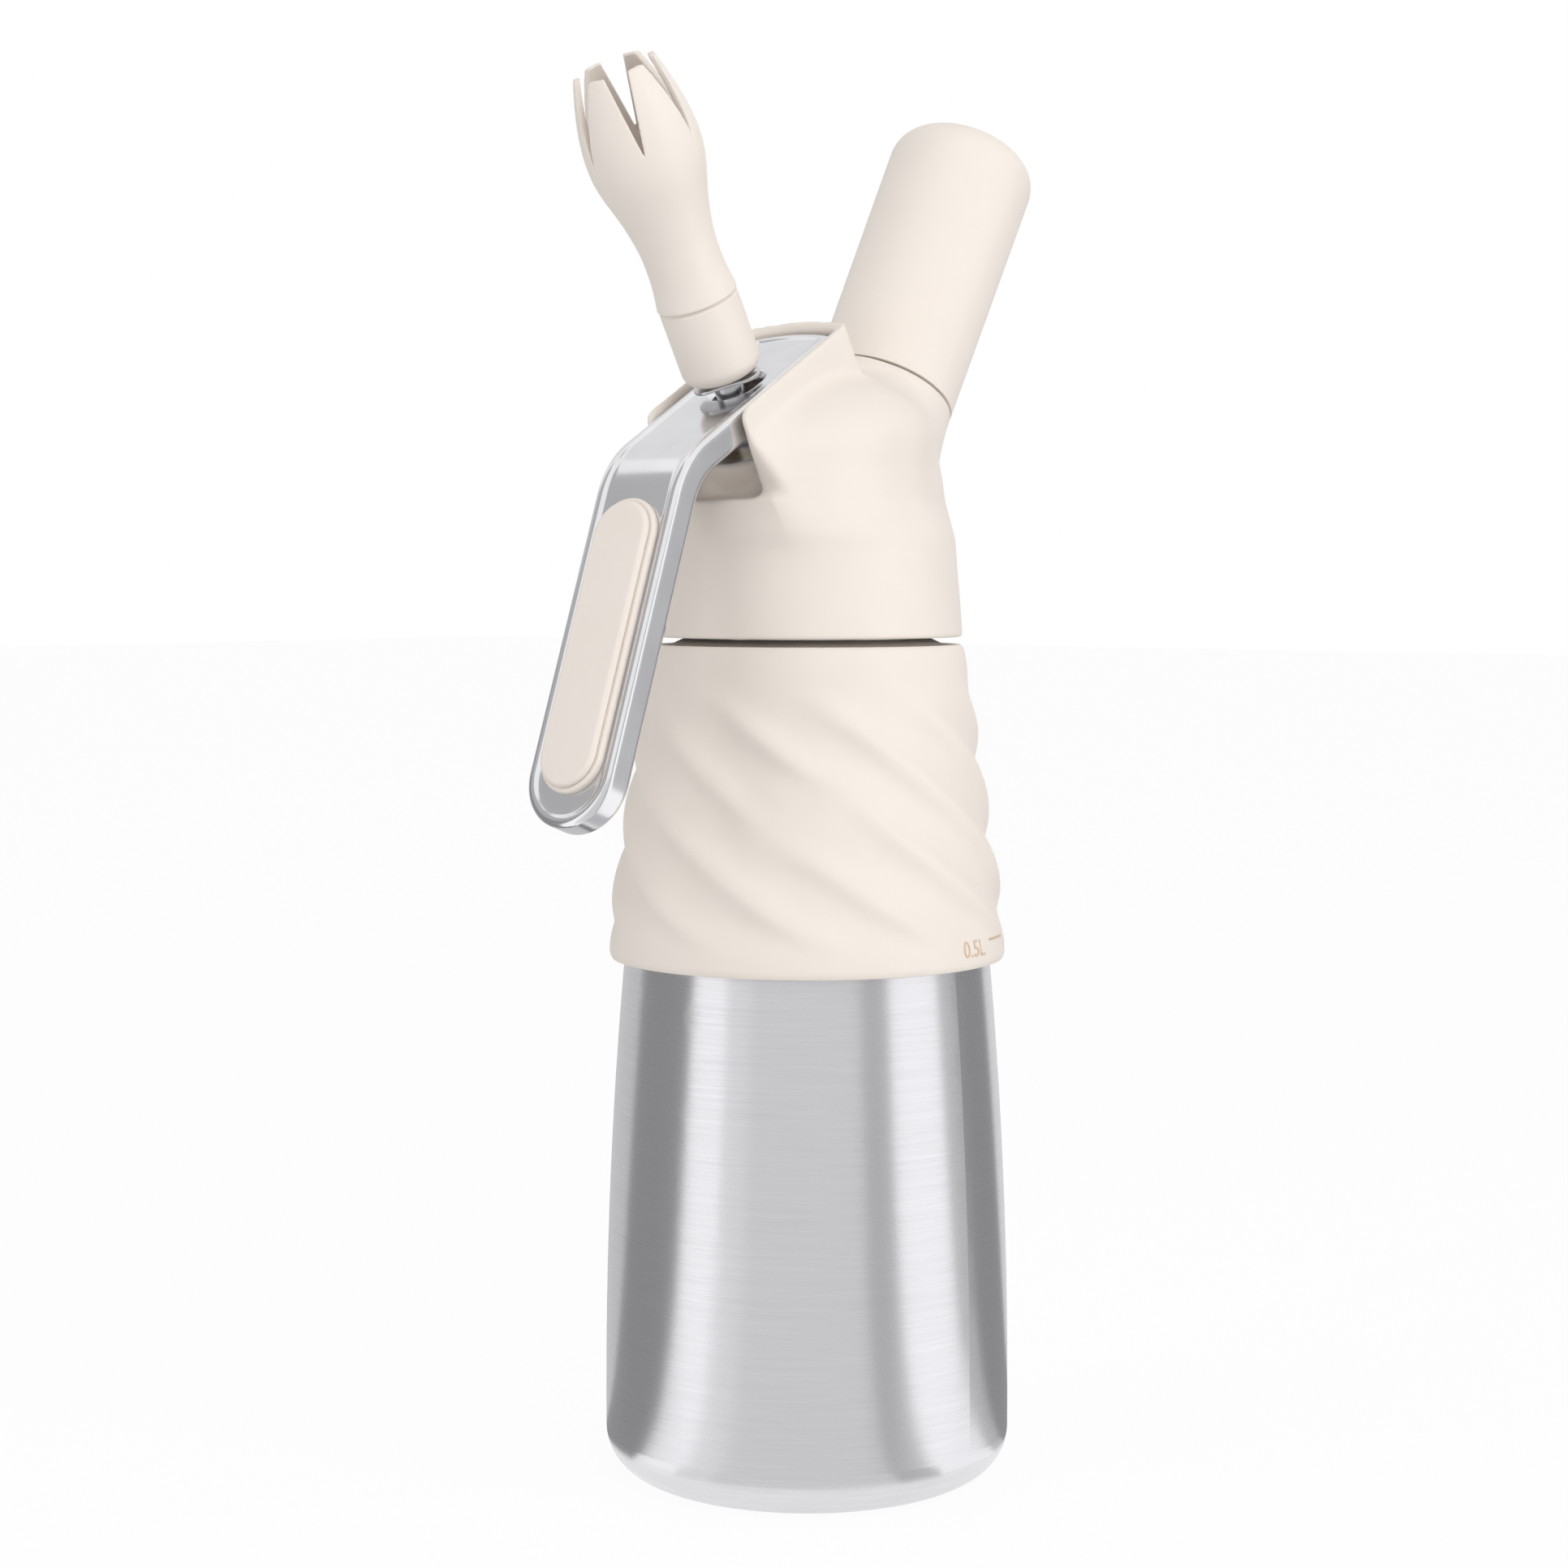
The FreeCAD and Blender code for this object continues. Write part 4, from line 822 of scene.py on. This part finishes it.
# %% World
SURROUND_LIGHT = 0.62
world = bpy.data.worlds.new("white_surround")
bpy.context.scene.world = world
world.use_nodes = True
sky = world.node_tree
backdrop = sky.nodes["Background"]
path = sky.nodes.new("ShaderNodeLightPath")
adds = []
for first, second in (("Is Camera Ray", "Is Glossy Ray"), (None, "Is Transmission Ray")):
    add = sky.nodes.new("ShaderNodeMath")
    add.operation = "ADD"
    add.use_clamp = True
    sky.links.new(path.outputs[first] if first else adds[-1].outputs[0], add.inputs[0])
    sky.links.new(path.outputs[second], add.inputs[1])
    adds.append(add)
level = sky.nodes.new("ShaderNodeMapRange")
level.inputs["To Min"].default_value = SURROUND_LIGHT
level.inputs["To Max"].default_value = 1.0
sky.links.new(adds[-1].outputs[0], level.inputs["Value"])
sky.links.new(level.outputs[0], backdrop.inputs["Strength"])
backdrop.inputs["Color"].default_value = (1, 1, 1, 1)
print("world strength", SURROUND_LIGHT, "for light, 1 as backdrop")

# %% [markdown]
# Two tall softboxes stand beside the whipper and a square one above it. Mirror rays pass
# them by, because the metal gets its bright bands from the cards of the next cell.

# %% Lamps
TOWARD_CAMERA = math.atan2(CAMERA_PLACE[1], CAMERA_PLACE[0])


def stand(turn_deg, distance, height):
    """A point around the whipper, counted from the camera's side."""
    turn = TOWARD_CAMERA + math.radians(turn_deg)
    return np.array([distance * math.cos(turn), distance * math.sin(turn), height])


def aim(thing, place, target):
    thing.location = place
    thing.rotation_euler = (Vector(target) - Vector(place)).to_track_quat("-Z", "Y").to_euler()


def softbox(name, turn_deg, distance, height, width, tall, power):
    """A soft rectangular lamp that looks at the middle of the whipper."""
    lamp = bpy.data.lights.new(name, "AREA")
    lamp.shape = "RECTANGLE"
    lamp.size = width
    lamp.size_y = tall
    lamp.energy = power
    thing = bpy.data.objects.new(name, lamp)
    bpy.context.scene.collection.objects.link(thing)
    thing.visible_glossy = False
    aim(thing, stand(turn_deg, distance, height), (0, 0, 0.15))


softbox("right_softbox", 55, 1.1, 0.5, 0.34, 1.3, 4.0)
softbox("left_softbox", -70, 1.1, 0.3, 0.26, 1.3, 2.0)
softbox("top_softbox", 10, 1.2, 1.2, 0.8, 0.8, 6.5)
print("three softboxes")

# %% [markdown]
# A studio photographer stands white and grey cards around polished metal, because metal
# shows nothing but what stands around it. Ten cards here are curved walls that also run in
# over the floor, and two hang higher for the lever. Only mirror rays see them, so they
# don't change the light on the cream.

# %% Cards
CARD_REACH = 1.55
LOW_WALL = [(0.047, 0.001), (0.6, 0.002), (1.5, 0.01), (CARD_REACH, 0.3), (CARD_REACH, 0.75)]
HIGH_WALL = [(CARD_REACH, 0.76), (CARD_REACH, 2.9)]


def card(name, start_deg, end_deg, level, profile=LOW_WALL):
    """A curved wall between two turns from the camera's side, with its own grey."""
    steps = 10
    points, quads = [], []
    for step in range(steps + 1):
        turn = TOWARD_CAMERA + math.radians(start_deg + (end_deg - start_deg) * step / steps)
        points += [(r * math.cos(turn), r * math.sin(turn), z) for r, z in profile]
    for step in range(steps):
        for k in range(len(profile) - 1):
            first = step * len(profile) + k
            quads.append((first, first + 1, first + 1 + len(profile), first + len(profile)))
    mesh = bpy.data.meshes.new(name)
    mesh.from_pydata(points, [], quads)
    paint = Finish(name)
    glow = paint.node("Emission", {}, {"Color": (level, level, level * 1.01, 1)})
    paint.tree.links.new(glow.socket, paint.tree.nodes["Material Output"].inputs["Surface"])
    mesh.materials.append(paint.material)
    thing = bpy.data.objects.new(name, mesh)
    bpy.context.scene.collection.objects.link(thing)
    thing.visible_camera = False
    thing.visible_diffuse = False
    thing.visible_shadow = False


for name, start_deg, end_deg, level in (
        ("front_card", -34, 32, 0.74), ("front_right_card", 32, 50, 0.5),
        ("right_white", 50, 86, 1.15), ("right_grey", 86, 101, 0.6),
        ("right_dark", 101, 140, 0.30), ("front_left_card", -49, -34, 0.84),
        ("left_white", -73, -49, 1.15), ("left_dark", -121, -73, 0.30),
        ("left_far", -168, -121, 0.62), ("right_far", 140, 168, 0.75)):
    card(name, start_deg, end_deg, level)
card("left_high", -106, -55, 0.5, HIGH_WALL)
card("back_high", -192, -128, 0.84, HIGH_WALL)
print("twelve cards")

# %% [markdown]
# The standard view keeps the cream and the white as they are, without a film's curve.

# %% View
bpy.context.scene.view_settings.view_transform = "Standard"
print("view:", bpy.context.scene.view_settings.view_transform)
